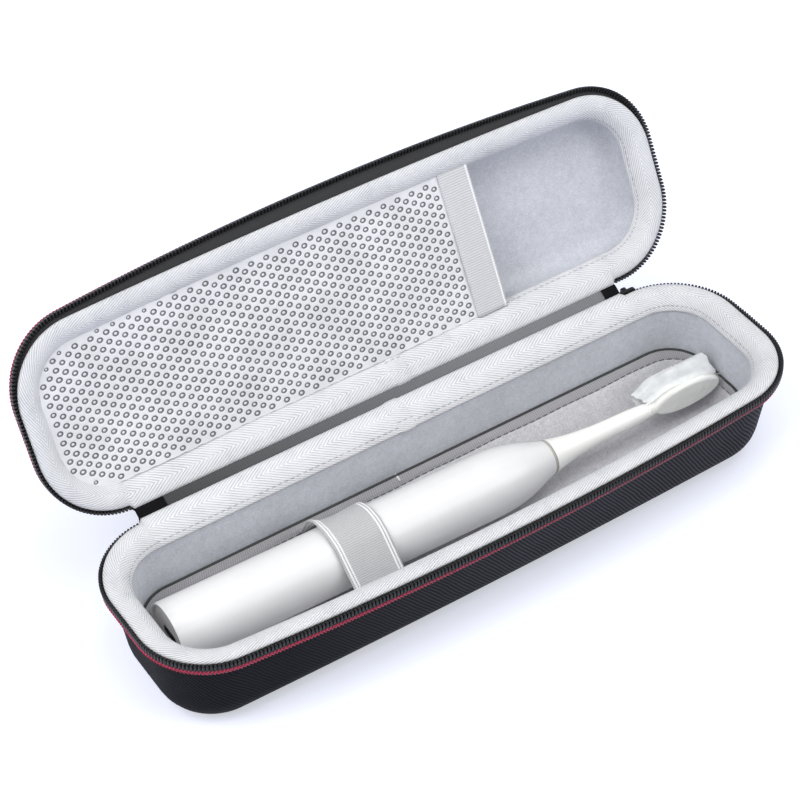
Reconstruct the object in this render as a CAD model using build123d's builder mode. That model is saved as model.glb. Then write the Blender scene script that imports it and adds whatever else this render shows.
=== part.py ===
from build123d import *
import os
from math import cos, radians, sin

# Hard-shell zipped travel case lying open, with an electric toothbrush under its elastic strap.
# Origin: middle of the tray's flat underside. +X along the case, +Y towards the hinge, +Z up. All in mm.

# ---------------------------------------------------------------- toothbrush
handle_radius = 12.4
handle_length = 157.6
shoulder_length = 29.6  # the handle narrows over this length
nose_radius = 6.6
handle_bore_radius = 10.9
cap_radius = 11.4
cap_recess = 0.9
cap_thickness = 2.3
cap_plug_depth = 2.8
port_length = 8.6
port_width = 3.2
port_depth = 1.2
seal_thickness = 0.8
battery_radius = 7.0
battery_length = 50.0
motor_radius = 7.5
motor_length = 28.0
board_width = 11.0
board_length = 52.0
board_thickness = 1.2
board_place = 0.495 * handle_length
board_height = 8.0  # in front of the brush's axis
switch_radius = 2.0
switch_height = 0.45
nose_solid = 39.6  # the handle is solid round the shaft over this length
shaft_radius = 1.5
shaft_in_head = 14.0
button_place = 0.61 * handle_length  # from the base
button_width = 8.0
button_length = 13.0
button_proud = 0.5
window_place = 0.47 * handle_length
window_width = 3.0
window_length = 9.0
head_length = 77.6  # from its collar to its tip
neck_radius = 3.2
head_plate_length = 30.0
head_plate_width = 12.4
head_plate_thickness = 4.6
bristle_length = 8.5
bristle_field_length = 23.0
bristle_field_width = 10.2
head_edge_radius = 1.4
film_thickness = 0.3
film_gap = 0.5

# ---------------------------------------------------------------- the brush's place in the case
base_room = 17.7  # zipper line to the brush's base
tip_room = 15.1  # brush's tip to the zipper line
brush_set_back = 2.75  # the base's distance from the middle, towards the hinge
brush_yaw = -1.26  # degrees about Z

# ---------------------------------------------------------------- case, measured over the zipper
case_length = base_room + handle_length + head_length + tip_room
case_width = 73.5  # at the ends, where the front side isn't bulged
zipper_bow = 7.5  # how far the zipper's front side bulges in the middle
zipper_corner_radius = 28.5
tray_height = 43.6  # underside to rim
lid_height = 20.0  # rim to top
closed_gap = 0.6  # between the two rims when shut
lid_angle = 118.0  # how far the lid stands open, from shut
hinge_set_out = 2.0  # hinge line behind the zipper line

# ---------------------------------------------------------------- moulded shells
zipper_overhang = 2.7  # zipper line outside the shell's lip
tray_bow = 6.3
lid_bow = 2.5
foot_bow = 1.0
lip_width = 6.9  # moulded foam at the rim
lip_drop = 0.9  # foam below the rim plane, for the tape over it
band_top = 3.0  # depth where the outer wall starts to lean in
band_foot = 8.0  # depth where the sewn band ends
band_lean = 1.2  # how far the wall leans in over the band
tray_draft = 5.3  # lip to foot, inwards
lid_draft = 3.6
tray_wall = 4.6  # at the foot
lid_wall = 4.8
tray_foot_radius = 12.0
lid_foot_radius = 9.0
lining_thickness = 1.0
hollow_foot_radius = 8.0
lid_hollow_radius = 6.0

# ---------------------------------------------------------------- tapes and zipper
tape_thickness = 0.8
tape_drop = 3.0  # how far the binding tape turns down inside
chain_width = 2.6
chain_height = 2.1
cord_size = 1.2  # the cord inside the coil
tooth_pitch = 2.4
tooth_width = 1.5
flange_thickness = 0.8
band_thickness = 1.0
hinge_strip_margin = 37.5  # case's end to the strip's end
hinge_tab_length = 5.0
strip_thickness = 0.8
strip_depth = 8.0  # how far the strip is sewn down each outer wall

# ---------------------------------------------------------------- floor pad and strap
pad_edge_height = 19.5
pad_thickness = 2.0
pad_side_slope = 11.5  # how far the pad's turned-up sides reach in, beyond the lining
pad_end_slope = 3.5
pad_foot_radius = 6.0
pad_mouth_radius = 12.0
pad_rim = 0.9  # thickness left at the pad's upper edge
strap_width = 20.0
strap_thickness = 1.2
strap_along = 73.9  # from the brush's base to the strap's middle
strap_foot_height = 15.6
strap_back_reach = 21.5
strap_front_reach = 23.5

# ---------------------------------------------------------------- mesh pocket in the lid
pocket_edge = case_length / 6  # along X
pocket_band_width = 12.7
pocket_depth = 3.2  # below the lid's rim
mesh_thickness = 0.8
pocket_band_thickness = 1.3

# ---------------------------------------------------------------- zipper slider
slider_length = 8.0
slider_height = 4.0
slider_thickness = 1.2
crown_width = 2.0
crown_wall = 0.6
pull_length = 24.0
pull_width = 7.0
pull_thickness = 0.9
pull_window = 3.0  # from the pull's pivot to the end of its window

running_clearance = 0.3  # between pieces of different bodies
shaft_clearance = 0.06
seat_clearance = 0.05

os.makedirs("parts", exist_ok=True)


def finish(builder, label):
    """Name a finished piece and write its file."""
    builder.part.label = label
    export_step(builder.part, f"parts/{label}.step")


# ---------------------------------------------------------------- frames of the two halves
# Each half has a rim plane: its Z leaves the opening and its Y points at the hinge.
half_width = case_width / 2
hinge_y = half_width + hinge_set_out
hinge_z = tray_height + closed_gap / 2
lid_turn = radians(lid_angle)
lid_out = Vector(0, sin(lid_turn), cos(lid_turn))  # from the lid's rim towards its top
lid_along = Vector(0, -cos(lid_turn), sin(lid_turn))  # from the hinge towards the lid's far side
hinge_point = Vector(0, hinge_y, hinge_z)
tray_rim = Plane.XY.offset(tray_height)
lid_rim = Plane(
    origin=hinge_point + lid_along * hinge_y + lid_out * (closed_gap / 2),
    x_dir=(-1, 0, 0),
    z_dir=lid_out * -1,
)

lip_half_length = case_length / 2 - zipper_overhang
lip_half_width = half_width - zipper_overhang
lip_corner_radius = zipper_corner_radius - zipper_overhang
corner_x = case_length / 2 - zipper_corner_radius  # centre of the corner arcs
corner_y = half_width - zipper_corner_radius
strip_end = case_length / 2 - hinge_strip_margin
ledge_half_length = strip_end + hinge_tab_length
ledge_width = zipper_overhang - seat_clearance * 4
chain_end = ledge_half_length + running_clearance


def bowed_rectangle(half_length, half_side, bow, radius, inset=0.0):
    """Rounded rectangle whose front side bulges by bow, inset evenly."""
    with BuildSketch() as outline:
        with BuildLine():
            Polyline(
                (half_length, -half_side),
                (half_length, half_side),
                (-half_length, half_side),
                (-half_length, -half_side),
            )
            ThreePointArc((-half_length, -half_side), (0, -half_side - bow), (half_length, -half_side))
        make_face()
        fillet(vertices(), radius)
        if inset:
            offset(amount=-inset)
    return outline.sketch


def lip_outline(bow, inset=0.0):
    """The moulded lip's outline, inset evenly."""
    return bowed_rectangle(lip_half_length, lip_half_width, bow, lip_corner_radius, inset)


def zipper_outline(inset=0.0):
    """The zipper's outer line, inset evenly."""
    return bowed_rectangle(case_length / 2, half_width, zipper_bow, zipper_corner_radius, inset)


def foot_outline(draft, inset=0.0):
    """The outline at a half's closed end, drawn in by its draft."""
    return bowed_rectangle(
        lip_half_length - draft,
        lip_half_width - draft,
        foot_bow,
        lip_corner_radius - draft,
        inset,
    )


def round_foot(rim, depth, radius):
    """Round the edges of the open part's closed end."""
    foot = faces().filter_by_position(Axis(rim.origin, rim.z_dir), -depth - 0.01, -depth + 0.01)
    fillet(foot.edges(), radius)


def half_form(rim, bow, height, draft, foot_radius):
    """Outer form of one half: upright lip, leaning band, drafted wall and rounded foot."""
    with BuildSketch(rim.offset(-height)) as foot:
        add(foot_outline(draft))
    with BuildSketch(rim.offset(-band_foot)) as band_low:
        add(lip_outline(bow, band_lean))
    with BuildSketch(rim.offset(-band_top)) as band_high:
        add(lip_outline(bow))
    loft([foot.sketch, band_low.sketch], ruled=True)
    round_foot(rim, height, foot_radius)
    loft([band_low.sketch, band_high.sketch], ruled=True)
    extrude(band_high.sketch, amount=band_top - lip_drop)


def half_hollow(rim, bow, depth, draft, wall, skin, foot_radius):
    """The hollow of one half, made smaller all over by skin."""
    with BuildSketch(rim.offset(-depth + skin)) as foot:
        add(foot_outline(draft, wall + skin))
    with BuildSketch(rim.offset(-tape_drop)) as mouth:
        add(lip_outline(bow, lip_width + skin))
    loft([foot.sketch, mouth.sketch], ruled=True)
    round_foot(rim, depth - skin, foot_radius - skin)
    extrude(mouth.sketch, amount=tape_drop - lip_drop)


def ledge_outline(half_length):
    """Straight strip along the hinge side, from inside the lip to the hinge strip."""
    with BuildSketch() as strip:
        with Locations((0, lip_half_width - lip_width / 2)):
            Rectangle(2 * half_length, lip_width / 2 + ledge_width, align=(Align.CENTER, Align.MIN))
    return strip.sketch


def half_shell(rim, form, hollow):
    """Moulded shell with the thicker ledge that the hinge strip is sewn to."""
    add(form.part)
    with BuildSketch(rim.offset(-lip_drop)) as ledge:
        add(ledge_outline(ledge_half_length))
    extrude(ledge.sketch, amount=lip_drop - band_foot)
    add(hollow.part, mode=Mode.SUBTRACT)


def rim_path(rim, outline):
    """An outline on the rim plane, as a closed wire."""
    with BuildSketch(rim) as ring:
        add(outline)
    return ring.sketch.face().outer_wire()


def rim_section(rim, path):
    """Plane across a rim path: X runs inwards from the path, Y leaves the opening."""
    start = path @ 0
    along = (path % 0).normalized()
    inward = rim.z_dir.cross(along)
    if inward.dot(rim.origin - start) < 0:
        inward = inward * -1
    return Plane(origin=start, x_dir=inward, z_dir=inward.cross(rim.z_dir))


def binding_tape(rim, bow):
    """Twill tape bound over the foam lip and down inside it, wider over the hinge ledge."""
    path = rim_path(rim, lip_outline(bow))
    inner = lip_width + lining_thickness
    crown = -seat_clearance
    with BuildSketch(rim_section(rim, path)) as section:
        with BuildLine():
            ThreePointArc((0, -lip_drop), (inner / 2, crown), (inner, -lip_drop / 2))
            Polyline(
                (inner, -lip_drop / 2),
                (inner + tape_thickness, -lip_drop / 2 - tape_thickness),
                (inner + tape_thickness, -tape_drop),
                (inner, -tape_drop),
                (inner, -lip_drop),
                (0, -lip_drop),
            )
        make_face()
    sweep(section.sketch, path=path)
    with BuildSketch(rim.offset(-lip_drop)) as ledge:
        add(ledge_outline(ledge_half_length))
    extrude(ledge.sketch, amount=lip_drop + crown)


def cut_back(rim, depth):
    """Leave the open part off the hinge side, between the zipper's two ends."""
    with BuildSketch(rim) as back:
        with Locations((0, lip_half_width - lip_width / 2)):
            Rectangle(2 * chain_end, lip_width, align=(Align.CENTER, Align.MIN))
    extrude(back.sketch, amount=-depth, mode=Mode.SUBTRACT)


def zipper_tape(rim, bow, form):
    """Woven tape: a flange that carries the chain, and the band turned down and sewn to the wall."""
    flange_top = chain_height + seat_clearance * 2
    with BuildSketch(rim.offset(-flange_top)) as flange:
        add(zipper_outline(running_clearance))
        add(lip_outline(bow), mode=Mode.SUBTRACT)
    extrude(flange.sketch, amount=-flange_thickness)
    with BuildSketch(rim.offset(-flange_top - flange_thickness)) as band_high:
        add(zipper_outline(band_thickness / 2))
    with BuildSketch(rim.offset(-band_foot)) as band_low:
        add(lip_outline(bow, band_lean - band_thickness / 2))
    loft([band_low.sketch, band_high.sketch], ruled=True)
    add(form.part, mode=Mode.SUBTRACT)
    cut_back(rim, band_foot)


def tooth_places(rim, path):
    """A place for each tooth along the zipper, leaving out the hinge side."""
    count = round(path.length / tooth_pitch)
    for step in range(count):
        share = step / count
        point = path.position_at(share)
        back = rim.to_local_coords(point)
        if abs(back.X) > chain_end + tooth_pitch or back.Y < 0:
            yield Location(Plane(origin=point, x_dir=path.tangent_at(share), z_dir=rim.z_dir))


def zipper_chain(rim):
    """One row of the coil: a cord with a row of teeth round it."""
    path = rim_path(rim, zipper_outline(chain_width / 2))
    middle = -chain_height / 2 - seat_clearance * 2
    with BuildSketch(rim_section(rim, path)) as cord:
        with Locations((0, middle)):
            Rectangle(cord_size, cord_size)
    sweep(cord.sketch, path=path)
    cut_back(rim, band_foot)
    with BuildPart(mode=Mode.PRIVATE) as tooth:
        with Locations((0, 0, middle)):
            Box(tooth_width, chain_width, chain_height)
        chamfer(tooth.edges().filter_by(Axis.X).group_by(Axis.Z)[-1], chain_height * 0.3)
    with Locations(*tooth_places(rim, path)):
        add(tooth.part)


# ---------------------------------------------------------------- tray
tray_depth = tray_height - tray_wall
with BuildPart() as tray_hollow:
    half_hollow(tray_rim, tray_bow, tray_depth, tray_draft, tray_wall, 0, hollow_foot_radius)

with BuildPart() as tray_room:
    half_hollow(tray_rim, tray_bow, tray_depth, tray_draft, tray_wall, lining_thickness, hollow_foot_radius)

with BuildPart() as tray_form:
    half_form(tray_rim, tray_bow, tray_height, tray_draft, tray_foot_radius)

with BuildPart() as tray_shell:
    half_shell(tray_rim, tray_form, tray_hollow)
finish(tray_shell, "tray_shell")

with BuildPart() as tray_lining:
    add(tray_hollow.part)
    add(tray_room.part, mode=Mode.SUBTRACT)
finish(tray_lining, "tray_lining")

with BuildPart() as tray_binding_tape:
    binding_tape(tray_rim, tray_bow)
finish(tray_binding_tape, "tray_binding_tape")

with BuildPart() as tray_zipper_tape:
    zipper_tape(tray_rim, tray_bow, tray_form)
finish(tray_zipper_tape, "tray_zipper_tape")

with BuildPart() as tray_zipper_chain:
    zipper_chain(tray_rim)
finish(tray_zipper_chain, "tray_zipper_chain")

# ---------------------------------------------------------------- lid
lid_depth = lid_height - lid_wall
with BuildPart() as lid_hollow:
    half_hollow(lid_rim, lid_bow, lid_depth, lid_draft, lid_wall, 0, lid_hollow_radius)

with BuildPart() as lid_room:
    half_hollow(lid_rim, lid_bow, lid_depth, lid_draft, lid_wall, lining_thickness, lid_hollow_radius)

with BuildPart() as lid_form:
    half_form(lid_rim, lid_bow, lid_height, lid_draft, lid_foot_radius)

with BuildPart() as lid_shell:
    half_shell(lid_rim, lid_form, lid_hollow)
finish(lid_shell, "lid_shell")

with BuildPart() as lid_lining:
    add(lid_hollow.part)
    add(lid_room.part, mode=Mode.SUBTRACT)
finish(lid_lining, "lid_lining")

with BuildPart() as lid_binding_tape:
    binding_tape(lid_rim, lid_bow)
finish(lid_binding_tape, "lid_binding_tape")

with BuildPart() as lid_zipper_tape:
    zipper_tape(lid_rim, lid_bow, lid_form)
finish(lid_zipper_tape, "lid_zipper_tape")

with BuildPart() as lid_zipper_chain:
    zipper_chain(lid_rim)
finish(lid_zipper_chain, "lid_zipper_chain")


# ---------------------------------------------------------------- mesh pocket in the lid
def pocket_sheet(start, end, thickness):
    """A sheet stretched across the lid between two places along X."""
    with BuildSketch(lid_rim.offset(-pocket_depth)) as sheet:
        add(lip_outline(lid_bow, lip_width + lining_thickness + 2 * running_clearance))
        with Locations((-(start + end) / 2, 0)):
            Rectangle(end - start, case_width, mode=Mode.INTERSECT)
    extrude(sheet.sketch, amount=-thickness)


with BuildPart() as mesh_pocket:
    pocket_sheet(-case_length / 2, pocket_edge, mesh_thickness)
finish(mesh_pocket, "mesh_pocket")

with BuildPart() as pocket_elastic_band:
    pocket_sheet(pocket_edge, pocket_edge + pocket_band_width, pocket_band_thickness)
finish(pocket_elastic_band, "pocket_elastic_band")


# ---------------------------------------------------------------- hinge
def hinge_strip_piece(label, start, end, thickness):
    """Woven strip sewn to both outer walls and folded over the hinge line."""
    leg_y = lip_half_width + ledge_width + seat_clearance + thickness / 2
    leg_top = -2 * lip_drop
    tray_low = tray_rim.from_local_coords(Vector(0, leg_y, -strip_depth))
    tray_high = tray_rim.from_local_coords(Vector(0, leg_y, leg_top))
    lid_high = lid_rim.from_local_coords(Vector(0, leg_y, leg_top))
    lid_low = lid_rim.from_local_coords(Vector(0, leg_y, -strip_depth))
    fold = [(point.Y, point.Z) for point in (tray_low, tray_high, lid_high, lid_low)]
    with BuildPart() as piece:
        with BuildSketch(Plane.YZ.offset(start)):
            with BuildLine() as line:
                FilletPolyline(*fold, radius=strip_thickness)
            trace(line_width=thickness)
        extrude(amount=end - start)
    finish(piece, label)


hinge_strip_piece("hinge_strip", -strip_end, strip_end, strip_thickness)
hinge_strip_piece("hinge_tab_left", -ledge_half_length, -strip_end, strip_thickness * 1.5)
hinge_strip_piece("hinge_tab_right", strip_end, ledge_half_length, strip_thickness * 1.5)

# ---------------------------------------------------------------- toothbrush frame
# Along the brush: its Z. Towards the bristles and the button: its X. Upwards: its Y.
floor_height = tray_wall + lining_thickness
pad_top = floor_height + pad_thickness
brush_height = pad_top + running_clearance + handle_radius
yaw = radians(brush_yaw)
brush_along = Vector(cos(yaw), sin(yaw), 0)
brush_front = Vector(-sin(yaw), cos(yaw), 0)
brush_origin = Vector(base_room - case_length / 2, brush_set_back, brush_height)
brush_plane = Plane(origin=brush_origin, x_dir=brush_front, z_dir=brush_along)
brush_profile = Plane(origin=brush_origin, x_dir=brush_along, z_dir=brush_front * -1)
brush_axis = Axis(brush_origin, brush_along)


def brush_point(place, front=0.0, up=0.0):
    """A point given along the brush, towards its front, and up."""
    return brush_origin + brush_along * place + brush_front * front + Vector(0, 0, up)


def front_plane(place, front):
    """Plane across the brush's front direction; X runs along the brush."""
    return Plane(origin=brush_point(place, front), x_dir=brush_along, z_dir=brush_front)


# ---------------------------------------------------------------- floor pad and strap
pad_share = (pad_edge_height - floor_height) / (tray_height - tape_drop - floor_height)
room_foot_inset = tray_draft + tray_wall + lining_thickness
room_mouth_inset = lip_width + lining_thickness
pad_inset = room_foot_inset + (room_mouth_inset - room_foot_inset) * pad_share + pad_rim
pad_bow = foot_bow + (tray_bow - foot_bow) * pad_share
with BuildPart() as floor_pad:
    add(tray_room.part)
    split(bisect_by=Plane.XY.offset(pad_edge_height), keep=Keep.BOTTOM)
    with BuildSketch(Plane.XY.offset(pad_top)) as pad_floor:
        add(
            bowed_rectangle(
                lip_half_length - room_foot_inset - pad_end_slope,
                lip_half_width - room_foot_inset - pad_side_slope,
                foot_bow,
                pad_foot_radius,
            )
        )
    with BuildSketch(Plane.XY.offset(pad_edge_height)) as pad_mouth:
        add(
            bowed_rectangle(
                lip_half_length - pad_inset,
                lip_half_width - pad_inset,
                pad_bow,
                pad_mouth_radius,
            )
        )
    loft([pad_floor.sketch, pad_mouth.sketch], ruled=True, mode=Mode.SUBTRACT)
finish(floor_pad, "floor_pad")

strap_place = brush_origin.X + strap_along
strap_centre = brush_point(strap_along)
with BuildPart() as holding_strap:
    with BuildSketch(Plane.YZ.offset(strap_place - strap_width / 2)):
        for skin, mode in ((strap_thickness, Mode.ADD), (0, Mode.SUBTRACT)):
            with BuildSketch(mode=mode):
                with Locations((strap_centre.Y, strap_centre.Z)):
                    Circle(handle_radius + running_clearance + skin)
                with Locations(
                    (-strap_front_reach, strap_foot_height),
                    (strap_back_reach, strap_foot_height),
                ):
                    Circle(seat_clearance + skin)
                make_hull()
        with Locations((0, strap_foot_height)):
            Rectangle(case_width, tray_height, align=(Align.CENTER, Align.MAX), mode=Mode.SUBTRACT)
    extrude(amount=strap_width)
    add(floor_pad.part, mode=Mode.SUBTRACT)
finish(holding_strap, "holding_strap")

# ---------------------------------------------------------------- toothbrush handle
handle_straight = handle_length - shoulder_length
bore_end = handle_length - nose_solid
seat_end = cap_recess + cap_thickness
chassis_radius = handle_bore_radius - seat_clearance
chassis_start = seat_end + cap_plug_depth + seat_clearance
chassis_end = bore_end - seat_clearance
battery_offset = handle_bore_radius - battery_radius - cap_thickness


def brush_sketch(place):
    """Plane across the brush; X points to its front and Y up."""
    return brush_plane.offset(place)


def capsule(length, width):
    """Outline with round ends along its length."""
    with BuildSketch() as outline:
        SlotOverall(length, width)
    return outline.sketch


with BuildPart() as handle_housing:
    with BuildSketch(brush_profile):
        with BuildLine():
            Polyline((0, cap_radius), (0, handle_radius), (handle_straight, handle_radius))
            Spline(
                (handle_straight, handle_radius),
                (0.42 * handle_straight + 0.58 * handle_length, 0.7 * handle_radius + 0.3 * nose_radius),
                (handle_length, nose_radius),
                tangents=((1, 0), (1, -0.3)),
            )
            Polyline(
                (handle_length, nose_radius),
                (handle_length, shaft_radius + shaft_clearance),
                (bore_end, shaft_radius + shaft_clearance),
                (bore_end, handle_bore_radius),
                (seat_end, handle_bore_radius),
                (seat_end, cap_radius),
                (0, cap_radius),
            )
        make_face()
    revolve(axis=brush_axis)
    fillet(edges().filter_by(GeomType.CIRCLE).filter_by_position(brush_axis, -0.1, 0.1)[-1:], 0.4)
    with BuildSketch(front_plane(button_place, 0)):
        add(capsule(button_length + 2 * running_clearance, button_width + 2 * running_clearance))
    extrude(amount=case_width, mode=Mode.SUBTRACT)
    with BuildSketch(front_plane(window_place, handle_bore_radius)):
        add(capsule(window_length, window_width))
    extrude(amount=case_width, mode=Mode.SUBTRACT)
finish(handle_housing, "handle_housing")

with BuildPart() as base_cap:
    with BuildSketch(brush_sketch(cap_recess)):
        Circle(cap_radius - seat_clearance)
    extrude(amount=cap_thickness - seat_clearance)
    with BuildSketch(brush_sketch(seat_end - seat_clearance)):
        Circle(chassis_radius)
    extrude(amount=cap_plug_depth)
    with BuildSketch(brush_sketch(cap_recess)):
        add(capsule(port_length + cap_recess, port_width + cap_recess))
    extrude(amount=port_depth + cap_recess, mode=Mode.SUBTRACT)
finish(base_cap, "base_cap")

with BuildPart() as charging_port:
    with BuildSketch(brush_sketch(cap_recess + seat_clearance)):
        add(capsule(port_length + cap_recess - seat_clearance, port_width + cap_recess - seat_clearance))
        add(capsule(port_length - cap_recess, port_width - cap_recess), mode=Mode.SUBTRACT)
    extrude(amount=port_depth)
    with BuildSketch(brush_sketch(cap_recess + port_depth)):
        add(capsule(port_length, port_width))
    extrude(amount=cap_recess - seat_clearance)
finish(charging_port, "charging_port")

with BuildPart() as inner_chassis:
    with BuildSketch(brush_sketch(chassis_start)):
        Circle(chassis_radius)
    extrude(amount=chassis_end - chassis_start)
    with BuildSketch(brush_sketch(chassis_start)):
        with Locations((-battery_offset, 0)):
            Circle(battery_radius + seat_clearance)
    extrude(amount=battery_length + 2 * seat_clearance, mode=Mode.SUBTRACT)
    with BuildSketch(brush_sketch(chassis_end - motor_length - 2 * seat_clearance)):
        Circle(motor_radius + seat_clearance)
    extrude(amount=motor_length + case_width, mode=Mode.SUBTRACT)
    with BuildSketch(front_plane(board_place, board_height - seat_clearance)):
        Rectangle(board_length + board_width, case_width)
    extrude(amount=handle_radius, mode=Mode.SUBTRACT)
finish(inner_chassis, "inner_chassis")

with BuildPart() as battery_cell:
    with BuildSketch(brush_sketch(chassis_start + seat_clearance)):
        with Locations((-battery_offset, 0)):
            Circle(battery_radius)
    extrude(amount=battery_length)
finish(battery_cell, "battery_cell")

with BuildPart() as drive_motor:
    with BuildSketch(brush_sketch(chassis_end - motor_length)):
        Circle(motor_radius)
    extrude(amount=motor_length - running_clearance)
finish(drive_motor, "drive_motor")

with BuildPart() as circuit_board:
    with BuildSketch(front_plane(board_place, board_height)):
        Rectangle(board_length, board_width)
    extrude(amount=board_thickness)
finish(circuit_board, "circuit_board")

with BuildPart() as switch_dome:
    with BuildSketch(front_plane(button_place, board_height + board_thickness + seat_clearance)):
        Circle(switch_radius)
    extrude(amount=switch_height)
finish(switch_dome, "switch_dome")

button_back = board_height + board_thickness + seat_clearance + switch_height + 2 * running_clearance
with BuildPart() as power_button:
    with BuildSketch(brush_sketch(button_place - button_length / 2)):
        Circle(handle_radius + button_proud)
        with Locations((button_back, 0)):
            Rectangle(handle_radius, button_width, align=(Align.MIN, Align.CENTER), mode=Mode.INTERSECT)
    extrude(amount=button_length)
    with BuildSketch(front_plane(button_place, 0)):
        add(capsule(button_length, button_width))
    extrude(amount=case_width, mode=Mode.INTERSECT)
finish(power_button, "power_button")

with BuildPart() as indicator_window:
    with BuildSketch(brush_sketch(window_place - window_length / 2)):
        Circle(handle_radius)
        Circle(handle_bore_radius, mode=Mode.SUBTRACT)
    extrude(amount=window_length)
    with BuildSketch(front_plane(window_place, handle_bore_radius)):
        add(capsule(window_length - 2 * seat_clearance, window_width - 2 * seat_clearance))
    extrude(amount=handle_radius, mode=Mode.INTERSECT)
finish(indicator_window, "indicator_window")

with BuildPart() as seal_ring:
    with BuildSketch(brush_sketch(handle_length + seat_clearance)):
        Circle(nose_radius)
        Circle(shaft_radius + running_clearance, mode=Mode.SUBTRACT)
    extrude(amount=seal_thickness)
finish(seal_ring, "seal_ring")

# ---------------------------------------------------------------- toothbrush head
head_start = handle_length + seat_clearance + seal_thickness + running_clearance
head_end = handle_length + head_length
plate_place = head_end - head_plate_length / 2
neck_length = plate_place - bristle_field_length / 2 - head_start
with BuildPart() as drive_shaft:
    with BuildSketch(brush_sketch(bore_end + running_clearance)):
        Circle(shaft_radius)
    extrude(amount=head_start + shaft_in_head - bore_end - running_clearance)
finish(drive_shaft, "drive_shaft")

with BuildPart() as brush_head:
    with BuildSketch(front_plane(plate_place, -head_plate_thickness / 2)):
        Ellipse(head_plate_length / 2, head_plate_width / 2)
    extrude(amount=head_plate_thickness)
    fillet(faces().sort_by(Axis(brush_origin, brush_front))[0].edges(), head_edge_radius)
    with BuildSketch(brush_profile):
        with BuildLine():
            neck_line = Spline(
                (head_start, nose_radius),
                (head_start + 0.15 * neck_length, 0.55 * nose_radius + 0.45 * neck_radius),
                (head_start + 0.45 * neck_length, neck_radius * 1.12),
                (head_start + 0.8 * neck_length, neck_radius * 0.97),
                (head_start + neck_length, head_plate_thickness / 2.4),
            )
            Polyline(
                neck_line @ 1,
                (head_start + neck_length, 0),
                (head_start + shaft_in_head + seat_clearance, 0),
                (head_start + shaft_in_head + seat_clearance, shaft_radius + seat_clearance),
                (head_start, shaft_radius + seat_clearance),
                neck_line @ 0,
            )
        make_face()
    revolve(axis=brush_axis)
finish(brush_head, "brush_head")

with BuildPart() as bristle_block:
    with BuildSketch(front_plane(plate_place, head_plate_thickness / 2)):
        Ellipse(bristle_field_length / 2, bristle_field_width / 2)
    extrude(amount=bristle_length)
finish(bristle_block, "bristle_block")


def film_form(skin):
    """The bag over the head, grown by skin."""
    cover_back = -head_plate_thickness / 2 - skin
    cover_height = head_plate_thickness + bristle_length + 2 * skin
    with BuildSketch(front_plane(plate_place, cover_back)) as cover:
        Ellipse(head_plate_length / 2 + skin, head_plate_width / 2 + skin)
    extrude(cover.sketch, amount=cover_height)


with BuildPart() as film_inside:
    film_form(film_gap)

with BuildPart() as head_film:
    film_form(film_gap + film_thickness)
    add(film_inside.part, mode=Mode.SUBTRACT)
    with BuildSketch(brush_sketch(head_start)):
        Circle(case_width)
    extrude(amount=plate_place - head_start - bristle_field_length / 2, mode=Mode.SUBTRACT)
finish(head_film, "head_film")

# ---------------------------------------------------------------- zipper slider and pull
slider_y = half_width + running_clearance
slider_face = slider_y + slider_thickness
pivot_y = slider_face + running_clearance + pull_thickness / 2
eye_height = pull_thickness + 2 * running_clearance + crown_wall
pivot_z = tray_height - closed_gap - seat_clearance * 18 - slider_height / 2
with BuildPart() as zipper_slider:
    with BuildSketch(Plane.XZ.offset(-slider_y)):
        with Locations((corner_x, pivot_z)):
            RectangleRounded(slider_length, slider_height, slider_height / 3)
    extrude(amount=-slider_thickness)
    with BuildSketch(Plane.YZ.offset(corner_x - crown_width / 2)):
        with Locations((pivot_y, pivot_z)):
            Rectangle(
                2 * (pull_thickness / 2 + running_clearance + crown_wall),
                eye_height + crown_wall,
            )
            Rectangle(
                pull_thickness + 2 * running_clearance,
                eye_height - crown_wall,
                mode=Mode.SUBTRACT,
            )
    extrude(amount=crown_width)
finish(zipper_slider, "zipper_slider")

with BuildPart() as zipper_pull:
    with BuildSketch(Plane.XZ.offset(-pivot_y + pull_thickness / 2)):
        with Locations((corner_x, pivot_z + pull_thickness / 2)):
            Rectangle(pull_width, pull_length, align=(Align.CENTER, Align.MAX))
        fillet(vertices(), pull_thickness / 2)
        with Locations((corner_x, pivot_z - pull_thickness / 2)):
            Rectangle(
                crown_width + 2 * running_clearance,
                pull_window - pull_thickness / 2,
                align=(Align.CENTER, Align.MAX),
                mode=Mode.SUBTRACT,
            )
        with Locations((corner_x, pivot_z - pull_length * 0.6)):
            SlotOverall(pull_length / 3, pull_width / 3, rotation=90, mode=Mode.SUBTRACT)
    extrude(amount=-pull_thickness)
finish(zipper_pull, "zipper_pull")
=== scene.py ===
"""Looks of the electric toothbrush travel case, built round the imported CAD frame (metres, +Z up)."""
import math

import bmesh
import bpy
import numpy as np
from mathutils import Matrix, Vector


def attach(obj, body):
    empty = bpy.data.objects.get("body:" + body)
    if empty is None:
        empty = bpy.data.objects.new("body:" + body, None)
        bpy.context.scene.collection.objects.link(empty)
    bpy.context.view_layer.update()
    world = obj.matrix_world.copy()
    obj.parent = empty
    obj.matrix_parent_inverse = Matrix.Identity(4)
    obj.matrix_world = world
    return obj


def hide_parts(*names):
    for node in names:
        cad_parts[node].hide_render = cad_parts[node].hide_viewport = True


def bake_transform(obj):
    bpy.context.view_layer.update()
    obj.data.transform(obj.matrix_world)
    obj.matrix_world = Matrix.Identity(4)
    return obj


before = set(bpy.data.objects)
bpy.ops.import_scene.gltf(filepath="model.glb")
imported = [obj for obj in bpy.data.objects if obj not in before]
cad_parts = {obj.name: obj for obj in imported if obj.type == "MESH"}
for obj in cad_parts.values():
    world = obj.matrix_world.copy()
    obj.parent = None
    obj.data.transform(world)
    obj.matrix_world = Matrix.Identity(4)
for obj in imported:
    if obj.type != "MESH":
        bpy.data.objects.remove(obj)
scene = bpy.context.scene
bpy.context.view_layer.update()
MM = 0.001
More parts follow.
